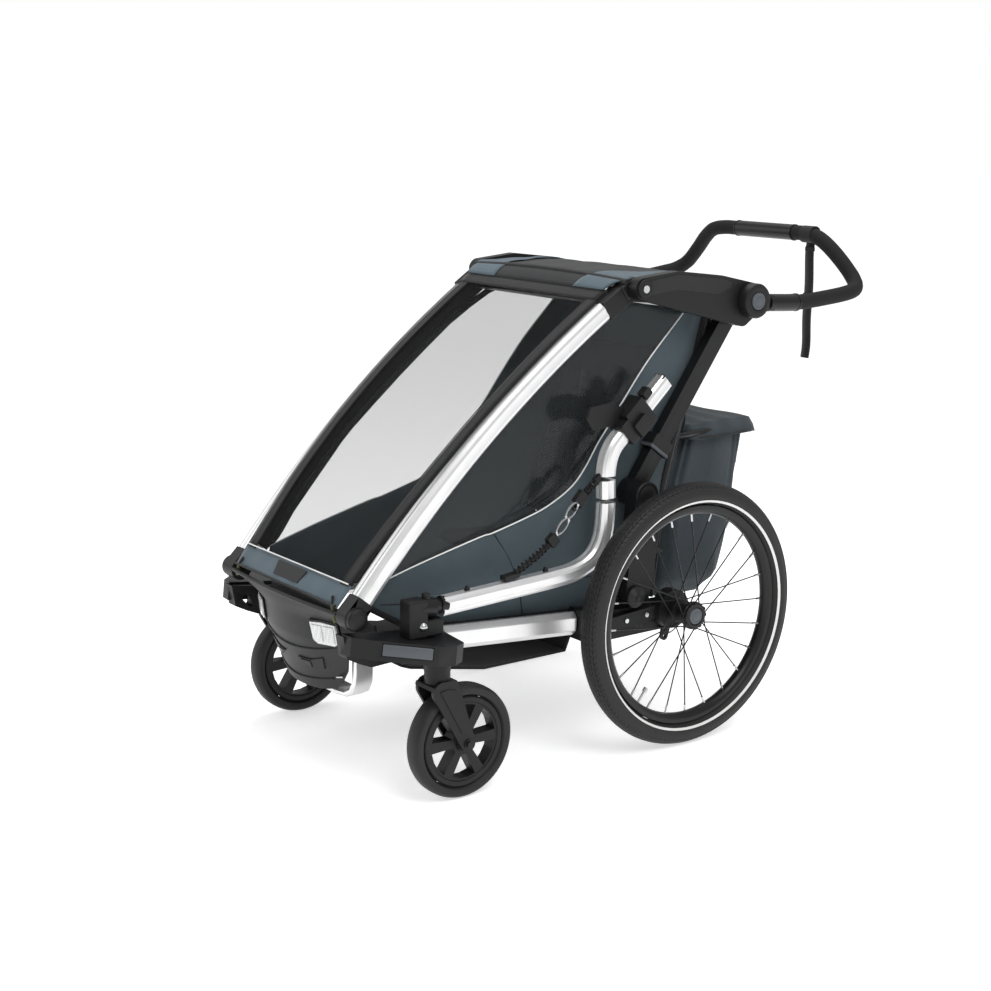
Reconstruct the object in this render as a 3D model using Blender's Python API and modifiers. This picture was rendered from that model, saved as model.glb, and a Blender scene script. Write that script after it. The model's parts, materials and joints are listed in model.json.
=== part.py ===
"""Child bicycle trailer with stroller casters, as separate pieces.

Metres, +Z up, the front of the trailer towards -Y, its left side towards +X.
All the places below are measured from the point on the ground under the rear
axle. One empty, trailer_origin, carries every piece, and moves that point
back by AXLE_Y so that the world origin is under the middle of the trailer.
"""

from math import atan2, cos, hypot, pi, radians, sin, tau

import bmesh
import bpy
from mathutils import Matrix, Vector
from mathutils.geometry import convex_hull_2d

# ---- Driving dimensions ----
AXLE_Y = 0.11025  # rear axle behind the middle of the trailer
GAP = 0.0003  # between touching pieces

WHEEL_RADIUS = 0.250
WHEEL_X = 0.299
TYRE_WIDTH = 0.047
RIM_OUTER = 0.2085
RIM_INNER = 0.190
RIM_WIDTH = 0.026
SPOKES = 24
WHEEL_STEPS = 40  # facets round a rear wheel
HUB_CAP_RADIUS = 0.0245
AXLE_BUTTON_RADIUS = 0.0155

CASTER_RADIUS = 0.1019
CASTER_X = 0.2754
CASTER_WIDTH = 0.036
CASTER_AXLE = (-0.5027, CASTER_RADIUS)
CASTER_STEM_Y = -0.549
CASTER_RIM = 0.0815

FRONT_PIVOT = (-0.673, 0.3305)  # front tube to wing, (y, z)
ROOF_PIVOT = (-0.090, 0.854)  # roof bracket to front tube
REAR_PIVOT = (-0.070, 0.475)  # upright to rear bracket
UPRIGHT_TOP = (0.155, 0.790)  # upright to roof bracket
HANDLE_PIVOT = (0.172, 0.820)

TUBE_X = 0.215  # front tubes, at their top ends
TOE_IN = 0.0165  # how far their low ends come inwards
TUBE_WIDTH = 0.032
TUBE_DEPTH = 0.036
TUBE_LOW = (-0.6505, 0.3568)
TUBE_HIGH = (-0.118, 0.838)
TUBE_BOW = 0.028

UPRIGHT_X = 0.211
UPRIGHT_WIDTH = 0.022
UPRIGHT_DEPTH = 0.034
COLLAR_START = 0.086
COLLAR_LENGTH = 0.030

BRACKET_INNER = 0.2335
BRACKET_OUTER = 0.2555
HANDLE_DISC_INNER = 0.2560
HANDLE_DISC_OUTER = 0.2765
HANDLE_DISC_RADIUS = 0.0325
HANDLE_TUBE_RADIUS = 0.0148
HUB_BUTTON_RADIUS = 0.0162

RAIL_X = 0.2115
RAIL_WIDTH = 0.026
RAIL_DEPTH = 0.044
RAIL_FRONT = (-0.4985, 0.2675)
RAIL_REAR = (-0.2053, 0.2455)

ARM_X = 0.250  # plane of the hitch arm
ARM_WIDTH = 0.030
ARM_DEPTH = 0.033

SUSPENSION_PIVOT = (-0.152, 0.238)
CABIN_HALF_WIDTH = 0.190
BUMPER_BOW_END = 0.128
BAG_HALF_WIDTH = 0.165
SEAT_HALF_WIDTH = 0.150

BLACK = ((0.022, 0.022, 0.023), 0.55, 0.0)
DARK_GREY = ((0.055, 0.055, 0.057), 0.55, 0.0)
SILVER = ((0.80, 0.80, 0.79), 0.32, 0.9)
BUTTON_GREY = ((0.115, 0.130, 0.145), 0.5, 0.0)
BLUE_GREY = ((0.062, 0.088, 0.105), 0.85, 0.0)
MESH_GREY = ((0.10, 0.10, 0.10), 0.9, 0.0)
RUBBER = ((0.03, 0.03, 0.03), 0.8, 0.0)
WEBBING = ((0.015, 0.015, 0.015), 0.9, 0.0)

ALONG_X = (pi / 2, 0.0, pi / 2)  # local x, y, z become world y, z, x


# ---- Scene and helpers ----
def clear_scene():
    for old in list(bpy.data.objects):
        bpy.data.objects.remove(old, do_unlink=True)


clear_scene()
PARTS = bpy.data.collections.new("child_bicycle_trailer")
CUTTERS = bpy.data.collections.new("cutters")
bpy.context.scene.collection.children.link(PARTS)
bpy.context.scene.collection.children.link(CUTTERS)
CUTTERS.hide_render = True
ORIGIN = bpy.data.objects.new("trailer_origin", None)
ORIGIN.location = (0.0, AXLE_Y, 0.0)
PARTS.objects.link(ORIGIN)


def material(name, finish):
    colour, roughness, metallic = finish
    made = bpy.data.materials.new(name)
    made.use_nodes = True
    shader = made.node_tree.nodes["Principled BSDF"]
    shader.inputs["Base Color"].default_value = (*colour, 1.0)
    shader.inputs["Roughness"].default_value = roughness
    shader.inputs["Metallic"].default_value = metallic
    return made


def add_object(name, data, finish, location=(0, 0, 0), rotation=(0, 0, 0)):
    """Links the data as one piece, placed in the trailer's own frame."""
    made = bpy.data.objects.new(name, data)
    made.location = location
    made.rotation_euler = rotation
    made.parent = ORIGIN
    if finish is None:
        made.hide_render = True
        made.display_type = "WIRE"
        CUTTERS.objects.link(made)
    else:
        data.materials.append(material(name, finish))
        PARTS.objects.link(made)
    return made


def add_bmesh(name, shape, finish, location=(0, 0, 0), rotation=(0, 0, 0)):
    bmesh.ops.recalc_face_normals(shape, faces=shape.faces)
    mesh = bpy.data.meshes.new(name)
    shape.to_mesh(mesh)
    shape.free()
    return add_object(name, mesh, finish, location, rotation)


def round_edges(piece, width, segments=1):
    bevel = piece.modifiers.new("rounded_edges", "BEVEL")
    bevel.width = width
    bevel.segments = segments
    bevel.limit_method = "ANGLE"
    bevel.angle_limit = radians(40)
    return piece


def smooth(piece, angle=35):
    piece.data.shade_smooth()
    piece.data.set_sharp_from_angle(angle=radians(angle))
    return piece


def box(name, size, centre, finish, rotation=(0, 0, 0)):
    shape = bmesh.new()
    bmesh.ops.create_cube(shape, size=1.0)
    bmesh.ops.scale(shape, vec=size, verts=shape.verts)
    return add_bmesh(name, shape, finish, centre, rotation)


def cylinder_x(name, radius, x_from, x_to, centre, finish, segments=24):
    """A cylinder whose axis runs along X, centred on (y, z)."""
    shape = bmesh.new()
    bmesh.ops.create_cone(
        shape, cap_ends=True, segments=segments, radius1=radius, radius2=radius, depth=abs(x_to - x_from)
    )
    place = ((x_from + x_to) / 2, centre[0], centre[1])
    return smooth(add_bmesh(name, shape, finish, place, ALONG_X))


def cylinder_z(name, radius, z_from, z_to, centre, finish, segments=24):
    shape = bmesh.new()
    bmesh.ops.create_cone(
        shape, cap_ends=True, segments=segments, radius1=radius, radius2=radius, depth=abs(z_to - z_from)
    )
    place = (centre[0], centre[1], (z_from + z_to) / 2)
    return smooth(add_bmesh(name, shape, finish, place))


def curve_mesh(name, curve):
    """The welded, closed mesh of a curve with filled caps."""
    guide = bpy.data.objects.new(name, curve)
    bpy.context.scene.collection.objects.link(guide)
    graph = bpy.context.evaluated_depsgraph_get()
    mesh = bpy.data.meshes.new_from_object(guide.evaluated_get(graph))
    bpy.data.objects.remove(guide, do_unlink=True)
    shape = bmesh.new()
    shape.from_mesh(mesh)
    bpy.data.meshes.remove(mesh)
    bmesh.ops.remove_doubles(shape, verts=shape.verts, dist=0.00002)
    return shape


def flat_shape(name, outlines, thickness):
    """A flat outline, with any holes, filled and given its thickness along local z."""
    curve = bpy.data.curves.new(name, "CURVE")
    curve.dimensions = "2D"
    curve.fill_mode = "BOTH"
    curve.extrude = thickness / 2
    for outline in outlines:
        spline = curve.splines.new("POLY")
        spline.points.add(len(outline) - 1)
        for point, (across, up) in zip(spline.points, outline):
            point.co = (across, up, 0.0, 1.0)
        spline.use_cyclic_u = True
    return curve_mesh(name, curve)


def plate(name, outline, x_from, x_to, finish, holes=()):
    """A plate across X: its outline and holes are lists of (y, z)."""
    shape = flat_shape(name, [outline, *holes], abs(x_to - x_from))
    return add_bmesh(name, shape, finish, ((x_from + x_to) / 2, 0, 0), ALONG_X)


def circle(centre, radius, count=20):
    return [
        (centre[0] + radius * cos(tau * i / count), centre[1] + radius * sin(tau * i / count))
        for i in range(count)
    ]


def link_outline(rounds, count=20):
    """The outline of a belt around circles given as (y, z, radius)."""
    points = [Vector(p) for y, z, r in rounds for p in circle((y, z), r, count)]
    return [tuple(points[i]) for i in convex_hull_2d(points)]


def smooth_path(points, steps=4):
    """Points along a Catmull-Rom curve through the given points."""
    knots = [Vector(p) for p in points]
    knots = [2 * knots[0] - knots[1], *knots, 2 * knots[-1] - knots[-2]]
    path = []
    for before, start, end, after in zip(knots, knots[1:], knots[2:], knots[3:]):
        for i in range(steps):
            t = i / steps
            path.append(
                0.5
                * (
                    2 * start
                    + (end - before) * t
                    + (2 * before - 5 * start + 4 * end - after) * t**2
                    + (3 * start - before - 3 * end + after) * t**3
                )
            )
    return [*path, knots[-2]]


def poly_curve(name, path):
    curve = bpy.data.curves.new(name, "CURVE")
    curve.dimensions = "3D"
    curve.use_fill_caps = True
    spline = curve.splines.new("POLY")
    spline.points.add(len(path) - 1)
    for point, place in zip(spline.points, path):
        point.co = (*place, 1.0)
    return curve


def tube(name, path, radius, finish, resolution=2):
    curve = poly_curve(name, path)
    curve.bevel_depth = radius
    curve.bevel_resolution = resolution
    curve.twist_mode = "MINIMUM"
    return smooth(add_bmesh(name, curve_mesh(name, curve), finish), 50)


def rounded_section(width, depth, corner):
    """Rounded rectangle, two points at each corner."""
    across, up = width / 2, depth / 2
    corners = [(1, 1), (-1, 1), (-1, -1), (1, -1)]
    outline = []
    for i, (sx, sy) in enumerate(corners):
        near = (sx * (across - corner), sy * up)
        far = (sx * across, sy * (up - corner))
        outline += [far, near] if i % 2 == 0 else [near, far]
    return outline


def bar(name, x, path, section, finish, toe_in=0.0):
    """A bar of constant section along a path of (y, z), its start moved in X by toe_in.

    Each ring of the section stands across the path; section x is along world X.
    """
    shape = bmesh.new()
    rings = []
    for i, (y, z) in enumerate(path):
        back = path[max(i - 1, 0)]
        ahead = path[min(i + 1, len(path) - 1)]
        angle = atan2(ahead[1] - back[1], ahead[0] - back[0])
        near = x + toe_in * (1 - i / (len(path) - 1))
        rings.append(
            [shape.verts.new((near + u, y - v * sin(angle), z + v * cos(angle))) for u, v in section]
        )
    for ring, after in zip(rings, rings[1:]):
        for i in range(len(section)):
            j = (i + 1) % len(section)
            shape.faces.new((ring[i], ring[j], after[j], after[i]))
    shape.faces.new(rings[0])
    shape.faces.new(list(reversed(rings[-1])))
    return smooth(add_bmesh(name, shape, finish), 30)


def sheet(name, columns, rows, place_point, thickness, finish):
    """A curved shell: place_point(u, v) gives the point for u and v from 0 to 1."""
    shape = bmesh.new()
    bmesh.ops.create_grid(shape, x_segments=columns, y_segments=rows, size=0.5)
    for vertex in shape.verts:
        vertex.co = place_point(vertex.co.x + 0.5, vertex.co.y + 0.5)
    made = add_bmesh(name, shape, finish)
    solid = made.modifiers.new("thickness", "SOLIDIFY")
    solid.thickness = thickness
    solid.offset = 0.0
    return smooth(made)


def turned(name, profile, x, centre, side, finish, steps=48, closed=False):
    """A shape turned about an axis along X. The profile is (radius, along).

    Along is positive towards the outside of the trailer, and the profile runs
    from the outer end to the inner end, so that its faces point out.
    """
    mesh = bpy.data.meshes.new(name)
    shape = bmesh.new()
    points = [shape.verts.new((radius, 0.0, along)) for radius, along in profile]
    for first, second in zip(points, points[1:]):
        shape.edges.new((first, second))
    if closed:
        shape.edges.new((points[-1], points[0]))
    shape.to_mesh(mesh)
    shape.free()
    made = add_object(name, mesh, finish, (x * side, centre[0], centre[1]), (pi / 2, 0, side * pi / 2))
    screw = made.modifiers.new("turned", "SCREW")
    screw.steps = steps
    screw.render_steps = steps
    screw.use_merge_vertices = True
    screw.merge_threshold = 0.0001
    screw.use_smooth_shade = True
    return made


def combine(base, others, operation="UNION"):
    """Adds or cuts helper shapes, which stay as hidden cutters."""
    for other in others:
        boolean = base.modifiers.new(other.name, "BOOLEAN")
        boolean.operation = operation
        boolean.object = other
        boolean.solver = "EXACT"
    return base


def arc_path(low, high, bow, steps):
    """(y, z) points of a gently bowed bar, from low to high."""
    dy, dz = high[0] - low[0], high[1] - low[1]
    length = hypot(dy, dz)
    path = []
    for i in range(steps + 1):
        t = i / steps
        rise = 4 * bow * t * (1 - t)
        path.append((low[0] + dy * t - rise * dz / length, low[1] + dz * t + rise * dy / length))
    return path


def along_bow(t, lift=0.0):
    """(y, z) on the front tube's centre line, lifted off its outer side."""
    (y0, z0), (y1, z1) = TUBE_LOW, TUBE_HIGH
    dy, dz = y1 - y0, z1 - z0
    length = hypot(dy, dz)
    rise = 4 * TUBE_BOW * t * (1 - t) + lift
    return y0 + dy * t - rise * dz / length, z0 + dz * t + rise * dy / length


def interpolate(stations, t):
    """Linear reading of a list of (t, a, b, ...) rows."""
    for low, high in zip(stations, stations[1:]):
        if t <= high[0]:
            part = (t - low[0]) / (high[0] - low[0])
            return [a + (b - a) * part for a, b in zip(low[1:], high[1:])]
    return list(stations[-1][1:])


# ---- Base frame ----
def side_rail(label, side):
    section = rounded_section(RAIL_WIDTH, RAIL_DEPTH, 0.010)
    bar(f"side_rail_{label}", RAIL_X * side, [RAIL_FRONT, RAIL_REAR], section, SILVER)


def rear_bracket(label, side):
    """Sleeve behind the rail, with the post that carries the upright's pivot."""
    y, z = REAR_PIVOT
    sleeve = [
        (-0.203, 0.2155),
        (-0.150, 0.206),
        (0.020, 0.206),
        (0.034, 0.220),
        (0.034, 0.246),
        (0.020, 0.258),
        (-0.150, 0.262),
        (-0.203, 0.2735),
    ]
    base = plate(f"rear_bracket_{label}", sleeve, 0.1985 * side, 0.2335 * side, BLACK)
    web_outline = link_outline([(y + 0.006, 0.24, 0.022), (y, z, 0.022)])
    web = plate(f"rear_web_{label}", web_outline, 0.2258 * side, 0.2338 * side, None)
    post_outline = link_outline([(y, z, 0.0265), (y + 0.004, 0.310, 0.020), (-0.095, 0.291, 0.0195)])
    post = plate(f"rear_post_{label}", post_outline, 0.2262 * side, 0.2545 * side, None)
    combine(base, [web, post])


def suspension_knob(label, side):
    profile = [(0.0, 0.0135), (0.0055, 0.0135), (0.0062, 0.0115), (0.0185, 0.0085), (0.0200, 0.0060)]
    profile += [(0.0200, 0.0012), (0.0185, 0.0), (0.0, 0.0)]
    turned(f"suspension_knob_{label}", profile, 0.2545 + GAP, (-0.095, 0.288), side, DARK_GREY, 28)


def suspension_arm(label, side):
    pivot_y, pivot_z = SUSPENSION_PIVOT
    outline = link_outline([(pivot_y, pivot_z, 0.013), (0.0, WHEEL_RADIUS, 0.0125)])
    arm = plate(f"suspension_arm_{label}", outline, 0.2362 * side, 0.2478 * side, BLACK)
    drum = cylinder_x(f"drum_{label}", 0.037, 0.2366 * side, 0.2606 * side, (0.0, WHEEL_RADIUS), None, 28)
    tab_outline = link_outline([(0.0, 0.218, 0.010), (-0.006, 0.194, 0.0085)])
    tab = plate(f"tab_{label}", tab_outline, 0.2370 * side, 0.2430 * side, None)
    hole = cylinder_x(f"tab_hole_{label}", 0.0035, 0.230 * side, 0.250 * side, (-0.006, 0.194), None, 12)
    combine(arm, [drum, tab])
    combine(arm, [hole], "DIFFERENCE")


def axle_beam():
    beam = box("axle_beam", (0.3964, 0.050, 0.030), (0, -0.035, 0.230), BLACK)
    round_edges(beam, 0.004, 2)


def floor_pan():
    stations = [
        (0.0, -0.612, 0.300),
        (0.14, -0.598, 0.245),
        (0.26, -0.550, 0.214),
        (0.40, -0.470, 0.199),
        (0.56, -0.380, 0.182),
        (0.84, -0.195, 0.182),
        (1.0, -0.168, 0.248),
    ]

    def point(u, v):
        y, z = interpolate(stations, v)
        return Vector(((u - 0.5) * 2 * 0.178, y, z))

    sheet("floor_pan", 1, 25, point, 0.005, BLACK)


def brake_pedal():
    outline = link_outline([(0.0, 0.224, 0.006), (0.078, 0.216, 0.005)])
    pedal = plate("brake_pedal", outline, -0.045, 0.045, DARK_GREY)
    round_edges(pedal, 0.0015)


# ---- Front end ----
def bumper_plate():
    """Nose shield: level at the top, bowed like a hull lower down, narrowing to the bottom."""
    faces = [
        (0.150, -0.652, 3.5),
        (0.200, -0.663, 2.2),
        (0.255, -0.683, 2.3),
        (0.305, -0.697, 1.1),
        (0.340, -0.699, 0.13),
    ]
    half_widths = [
        (0.0, 0.088),
        (0.05, 0.099),
        (0.11, 0.107),
        (0.224, 0.122),
        (0.454, 0.139),
        (0.626, 0.153),
        (0.80, 0.170),
        (0.90, 0.180),
        (1.0, 0.1836),
    ]

    def point(u, v):
        half_width = interpolate(half_widths, v)[0]
        x = (u - 0.5) * 2 * half_width
        low = 0.161 + 0.0075 * (x / half_width) ** 4
        z = low + (0.335 - low) * v
        front, bow = interpolate(faces, z)
        return Vector((x, front + bow * x**2, z))

    sheet("bumper_plate", 12, 10, point, 0.006, DARK_GREY)


def skid_bar():
    """The bright bent bar under the nose, its upright ends behind the shield."""
    half = [
        (0.1240, 0.2300),
        (0.1240, 0.2000),
        (0.1215, 0.1820),
        (0.1120, 0.1660),
        (0.0930, 0.1565),
        (0.0600, 0.1530),
    ]
    outer = half + [(-x, z) for x, z in reversed(half)]
    shape = bmesh.new()
    rings = []
    for i, (x, z) in enumerate(outer):
        back = outer[max(i - 1, 0)]
        ahead = outer[min(i + 1, len(outer) - 1)]
        angle = atan2(ahead[1] - back[1], ahead[0] - back[0])
        ring = rounded_section(0.041, 0.012, 0.0035)
        rings.append(
            [shape.verts.new((x - v * sin(angle), -0.6030 + u, z + v * cos(angle))) for u, v in ring]
        )
    for ring, after in zip(rings, rings[1:]):
        for i in range(len(ring)):
            j = (i + 1) % len(ring)
            shape.faces.new((ring[i], ring[j], after[j], after[i]))
    shape.faces.new(rings[0])
    shape.faces.new(list(reversed(rings[-1])))
    smooth(add_bmesh("skid_bar", shape, SILVER), 30)


WING_TILT = radians(-6.4)
WING_PLACE = Vector((0.0, -0.6000, 0.2775))
WING_FRONT = Vector((0.2540, -0.0640))  # ends of the slanted outer edge, from WING_PLACE
WING_CORNER = Vector((0.3190, 0.0250))
BUTTON_MIDDLE = (WING_FRONT + WING_CORNER) / 2
BUTTON_TURN = atan2(WING_CORNER.x - WING_FRONT.x, WING_CORNER.y - WING_FRONT.y)


def wing_point(side, across, outwards, up):
    """A place beside the slanted edge: outwards from it, and up from the tray's middle."""
    x = BUTTON_MIDDLE.x + across * sin(BUTTON_TURN) + outwards * cos(BUTTON_TURN)
    y = BUTTON_MIDDLE.y + across * cos(BUTTON_TURN) - outwards * sin(BUTTON_TURN)
    return WING_PLACE + Matrix.Rotation(WING_TILT, 3, "X") @ Vector((x * side, y, up))


def wing_rotation(side):
    turned_about_z = Matrix.Rotation(-BUTTON_TURN * side, 3, "Z")
    return (Matrix.Rotation(WING_TILT, 3, "X") @ turned_about_z).to_euler()


def wing(label, side):
    """Front side tray, tilted, with the caster's socket under it and a button pocket."""
    outline = [
        (0.2000, -0.0930),
        (0.2260, -0.0900),
        tuple(WING_FRONT),
        tuple(WING_CORNER),
        (0.3200, 0.0600),
        (0.3020, 0.0860),
        (0.2000, 0.1010),
    ]
    shape = flat_shape(f"wing_{label}", [[(x * side, y) for x, y in outline]], 0.034)
    made = add_bmesh(f"wing_{label}", shape, BLACK, WING_PLACE, (WING_TILT, 0, 0))
    socket = cylinder_z(f"stem_socket_{label}", 0.0235, 0.2365, 0.272, (CASTER_X * side, CASTER_STEM_Y), None)
    web_outline = [
        (-0.694, 0.302),
        (-0.687, 0.262),
        (-0.664, 0.250),
        (-0.638, 0.239),
        (-0.596, 0.241),
        (-0.580, 0.268),
        (-0.600, 0.288),
    ]
    slot = link_outline([(-0.667, 0.276, 0.006), (-0.655, 0.262, 0.006)], 10)
    web = plate(f"web_{label}", web_outline, 0.1840 * side, 0.2100 * side, None, [slot])
    combine(made, [socket, web])
    turn = wing_rotation(side)
    pocket_place = wing_point(side, 0.003, 0, 0.003)
    pocket = box(f"button_pocket_{label}", (0.0200, 0.0860, 0.0215), pocket_place, None, turn)
    tray_place = wing_point(side, 0.008, -0.032, 0.0225)
    tray = box(f"tray_pocket_{label}", (0.0380, 0.078, 0.010), tray_place, None, turn)
    combine(made, [pocket, tray], "DIFFERENCE")


def wing_button(label, side):
    middle = wing_point(side, 0.003, -0.0007, 0.003)
    made = box(f"wing_button_{label}", (0.0085, 0.0840, 0.0195), middle, BUTTON_GREY, wing_rotation(side))
    round_edges(made, 0.0015, 2)


def caster_fork(label, side):
    """Swivelling fork: collar, crown and two legs, with its origin on the swivel axis."""
    x = CASTER_X * side
    axle_y, axle_z = CASTER_AXLE
    crown_outline = [
        (-0.574, 0.2145),
        (-0.527, 0.2205),
        (-0.521, 0.208),
        (-0.530, 0.2062),
        (-0.566, 0.2062),
        (-0.576, 0.2080),
    ]
    fork = plate(f"caster_fork_{label}", crown_outline, x - 0.0275, x + 0.0275, BLACK)
    collar = cylinder_z(f"collar_{label}", 0.0225, 0.2085, 0.2365 - GAP, (x, CASTER_STEM_Y), None)
    helpers = [collar]
    leg = link_outline([(-0.556, 0.203, 0.019), (-0.536, 0.207, 0.014), (axle_y, axle_z, 0.0145)])
    for end in (-1, 1):
        inner = x + end * (CASTER_WIDTH / 2 + 0.0022)
        outer = x + end * 0.0277
        helpers.append(plate(f"leg_{label}_{end}", leg, inner, outer, None))
    combine(fork, helpers)
    for vertex in fork.data.vertices:
        vertex.co = (vertex.co.x - CASTER_STEM_Y, vertex.co.y, vertex.co.z)
    fork.location.y = CASTER_STEM_Y


def caster_wheel(label, side):
    """Six spoked wheel core as one flat shape with six windows."""
    outer = circle((0, 0), CASTER_RIM - 3 * GAP, 28)
    windows = []
    for i in range(6):
        middle = tau * (i + 0.5) / 6
        near, far = 0.024, 0.0665
        window = []
        for k in range(4):
            angle = middle + radians(21.5) * (k / 1.5 - 1)
            window.append((far * cos(angle), far * sin(angle)))
        window.append((near * cos(middle + radians(12)), near * sin(middle + radians(12))))
        window.append((near * cos(middle - radians(12)), near * sin(middle - radians(12))))
        windows.append(window)
    name = f"caster_wheel_{label}"
    shape = flat_shape(name, [outer, *windows], 0.026)
    core = add_bmesh(name, shape, BLACK, (CASTER_X * side, *CASTER_AXLE), ALONG_X)
    hub = cylinder_x(f"caster_hub_{label}", 0.017, -0.0182, 0.0182, (0, 0), None, 20)
    hub.location = core.location
    combine(core, [hub])


def ring_profile(inner, outer, width, shoulder):
    """Closed tyre section, from the outer side round the tread to the inner side."""
    half = width / 2
    return [
        (inner, half * 0.62),
        (inner, -half * 0.62),
        (inner + shoulder, -half),
        (outer - shoulder, -half * 0.86),
        (outer, -half * 0.4),
        (outer, half * 0.4),
        (outer - shoulder, half * 0.86),
        (inner + shoulder, half),
    ][::-1]


def caster_tyre(label, side):
    profile = ring_profile(CASTER_RIM, CASTER_RADIUS, CASTER_WIDTH, 0.006)
    turned(f"caster_tyre_{label}", profile, CASTER_X, CASTER_AXLE, side, RUBBER, 28, closed=True)


# ---- Rear wheels ----
def tyre(label, side):
    profile = ring_profile(RIM_OUTER + GAP, WHEEL_RADIUS, TYRE_WIDTH, 0.012)
    turned(f"tyre_{label}", profile, WHEEL_X, (0.0, WHEEL_RADIUS), side, RUBBER, WHEEL_STEPS, closed=True)


def rim(label, side):
    half = RIM_WIDTH / 2
    profile = [
        (RIM_OUTER, half * 0.9),
        (RIM_OUTER, -half * 0.9),
        (RIM_OUTER - 0.009, -half),
        (RIM_INNER, -half * 0.45),
        (RIM_INNER, half * 0.45),
        (RIM_OUTER - 0.009, half),
    ]
    turned(f"rim_{label}", profile, WHEEL_X, (0.0, WHEEL_RADIUS), side, BLACK, WHEEL_STEPS, closed=True)


def spoke_hub(label, side):
    """Hub with two flanges and its laced spokes, which cross one another clear."""
    profile = [
        (0.0, 0.0125),
        (AXLE_BUTTON_RADIUS + 0.0008, 0.0125),
        (AXLE_BUTTON_RADIUS + 0.0008, 0.0225),
        (HUB_CAP_RADIUS - 0.001, 0.0225),
        (HUB_CAP_RADIUS, 0.0210),
        (HUB_CAP_RADIUS, 0.0085),
        (0.0155, 0.0060),
        (0.0155, -0.0160),
        (0.0235, -0.0180),
        (0.0235, -0.0230),
        (0.0160, -0.0240),
        (0.0160, -0.0378),
        (0.0, -0.0378),
    ]
    hub = turned(f"spoke_hub_{label}", profile, WHEEL_X, (0.0, WHEEL_RADIUS), side, BLACK, 16)
    spokes = bmesh.new()
    for i in range(SPOKES):
        outer_side = i % 2 == 0
        lean = 1 if (i // 2) % 2 == 0 else -1
        rim_angle = tau * i / SPOKES
        hub_angle = rim_angle + lean * radians(74)
        along = (0.0122 if outer_side else -0.0205) + lean * 0.0017
        start = Vector((0.0205 * cos(hub_angle), 0.0205 * sin(hub_angle), along))
        reach = RIM_INNER * cos(pi / WHEEL_STEPS) - 2 * GAP
        end = Vector((reach * cos(rim_angle), reach * sin(rim_angle), 0.0))
        way = end - start
        turn = way.to_track_quat("Z", "Y").to_matrix().to_4x4()
        matrix = Matrix.Translation((start + end) / 2) @ turn
        bmesh.ops.create_cone(
            spokes,
            cap_ends=True,
            segments=5,
            radius1=0.00125,
            radius2=0.00125,
            depth=way.length,
            matrix=matrix,
        )
    lacing = add_bmesh(f"lacing_{label}", spokes, None, hub.location, hub.rotation_euler)
    combine(hub, [lacing])


def axle_button(label, side):
    profile = [
        (0.0, 0.0245),
        (0.0120, 0.0238),
        (AXLE_BUTTON_RADIUS, 0.0215),
        (AXLE_BUTTON_RADIUS, 0.0165),
        (0.0, 0.0165),
    ]
    turned(f"axle_button_{label}", profile, WHEEL_X, (0.0, WHEEL_RADIUS), side, BUTTON_GREY, 28)


# ---- Hitch arm, stored along the left side ----
def hitch_socket():
    outline = [
        (-0.600, 0.2951),
        (-0.529, 0.2872),
        (-0.529, 0.3560),
        (-0.540, 0.3650),
        (-0.560, 0.3680),
        (-0.585, 0.3570),
        (-0.599, 0.3250),
    ]
    round_edges(plate("hitch_socket", outline, 0.2345, 0.2680, BLACK), 0.002)


def hitch_path():
    knots = [
        (-0.5265, 0.3385),
        (-0.410, 0.3440),
        (-0.290, 0.3500),
        (-0.232, 0.3570),
        (-0.193, 0.3760),
        (-0.171, 0.4120),
        (-0.1645, 0.467),
        (-0.1655, 0.530),
        (-0.155, 0.5680),
        (-0.125, 0.600),
        (-0.0335, 0.6845),
    ]
    return [tuple(p) for p in smooth_path(knots, 2)]


def hitch_arm():
    section = rounded_section(ARM_WIDTH, ARM_DEPTH, 0.008)
    bar("hitch_arm", ARM_X, hitch_path(), section, SILVER)


CLIP_TURN = radians(42.7)
CLIP_PLACE = Vector((ARM_X, -0.0980, 0.6249))


def hitch_clip():
    """Block around the arm that holds its free end against the frame."""
    clip = box("hitch_clip", (0.0370, 0.050, 0.058), CLIP_PLACE, BLACK, (CLIP_TURN, 0, 0))
    bore_size = (ARM_WIDTH + 0.0012, 0.09, ARM_DEPTH + 0.0030)
    bore = box("clip_bore", bore_size, CLIP_PLACE, None, (CLIP_TURN, 0, 0))
    combine(clip, [bore], "DIFFERENCE")


def safety_strap():
    path = smooth_path([(0.2520, -0.371, 0.372), (0.2530, -0.322, 0.398), (0.2530, -0.272, 0.432)], 4)
    path += smooth_path([(0.2530, -0.246, 0.462), (0.2520, -0.217, 0.494), (0.2510, -0.190, 0.515)], 4)
    tube("safety_strap", path, 0.0062, WEBBING, 1)


# ---- Front frame ----
def front_tube(label, side):
    crease = 0.0025
    half, deep = TUBE_WIDTH / 2, TUBE_DEPTH / 2
    section = [
        (-half, deep - 0.008),
        (-half + 0.006, deep - crease),
        (0.0, deep),
        (half - 0.006, deep - crease),
        (half, deep - 0.008),
        (half, -deep + 0.006),
        (half - 0.006, -deep),
        (-half + 0.006, -deep),
        (-half, -deep + 0.006),
    ]
    path = arc_path(TUBE_LOW, TUBE_HIGH, TUBE_BOW, 14)
    bar(f"front_tube_{label}", TUBE_X * side, path, section, SILVER, -TOE_IN * side)


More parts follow.
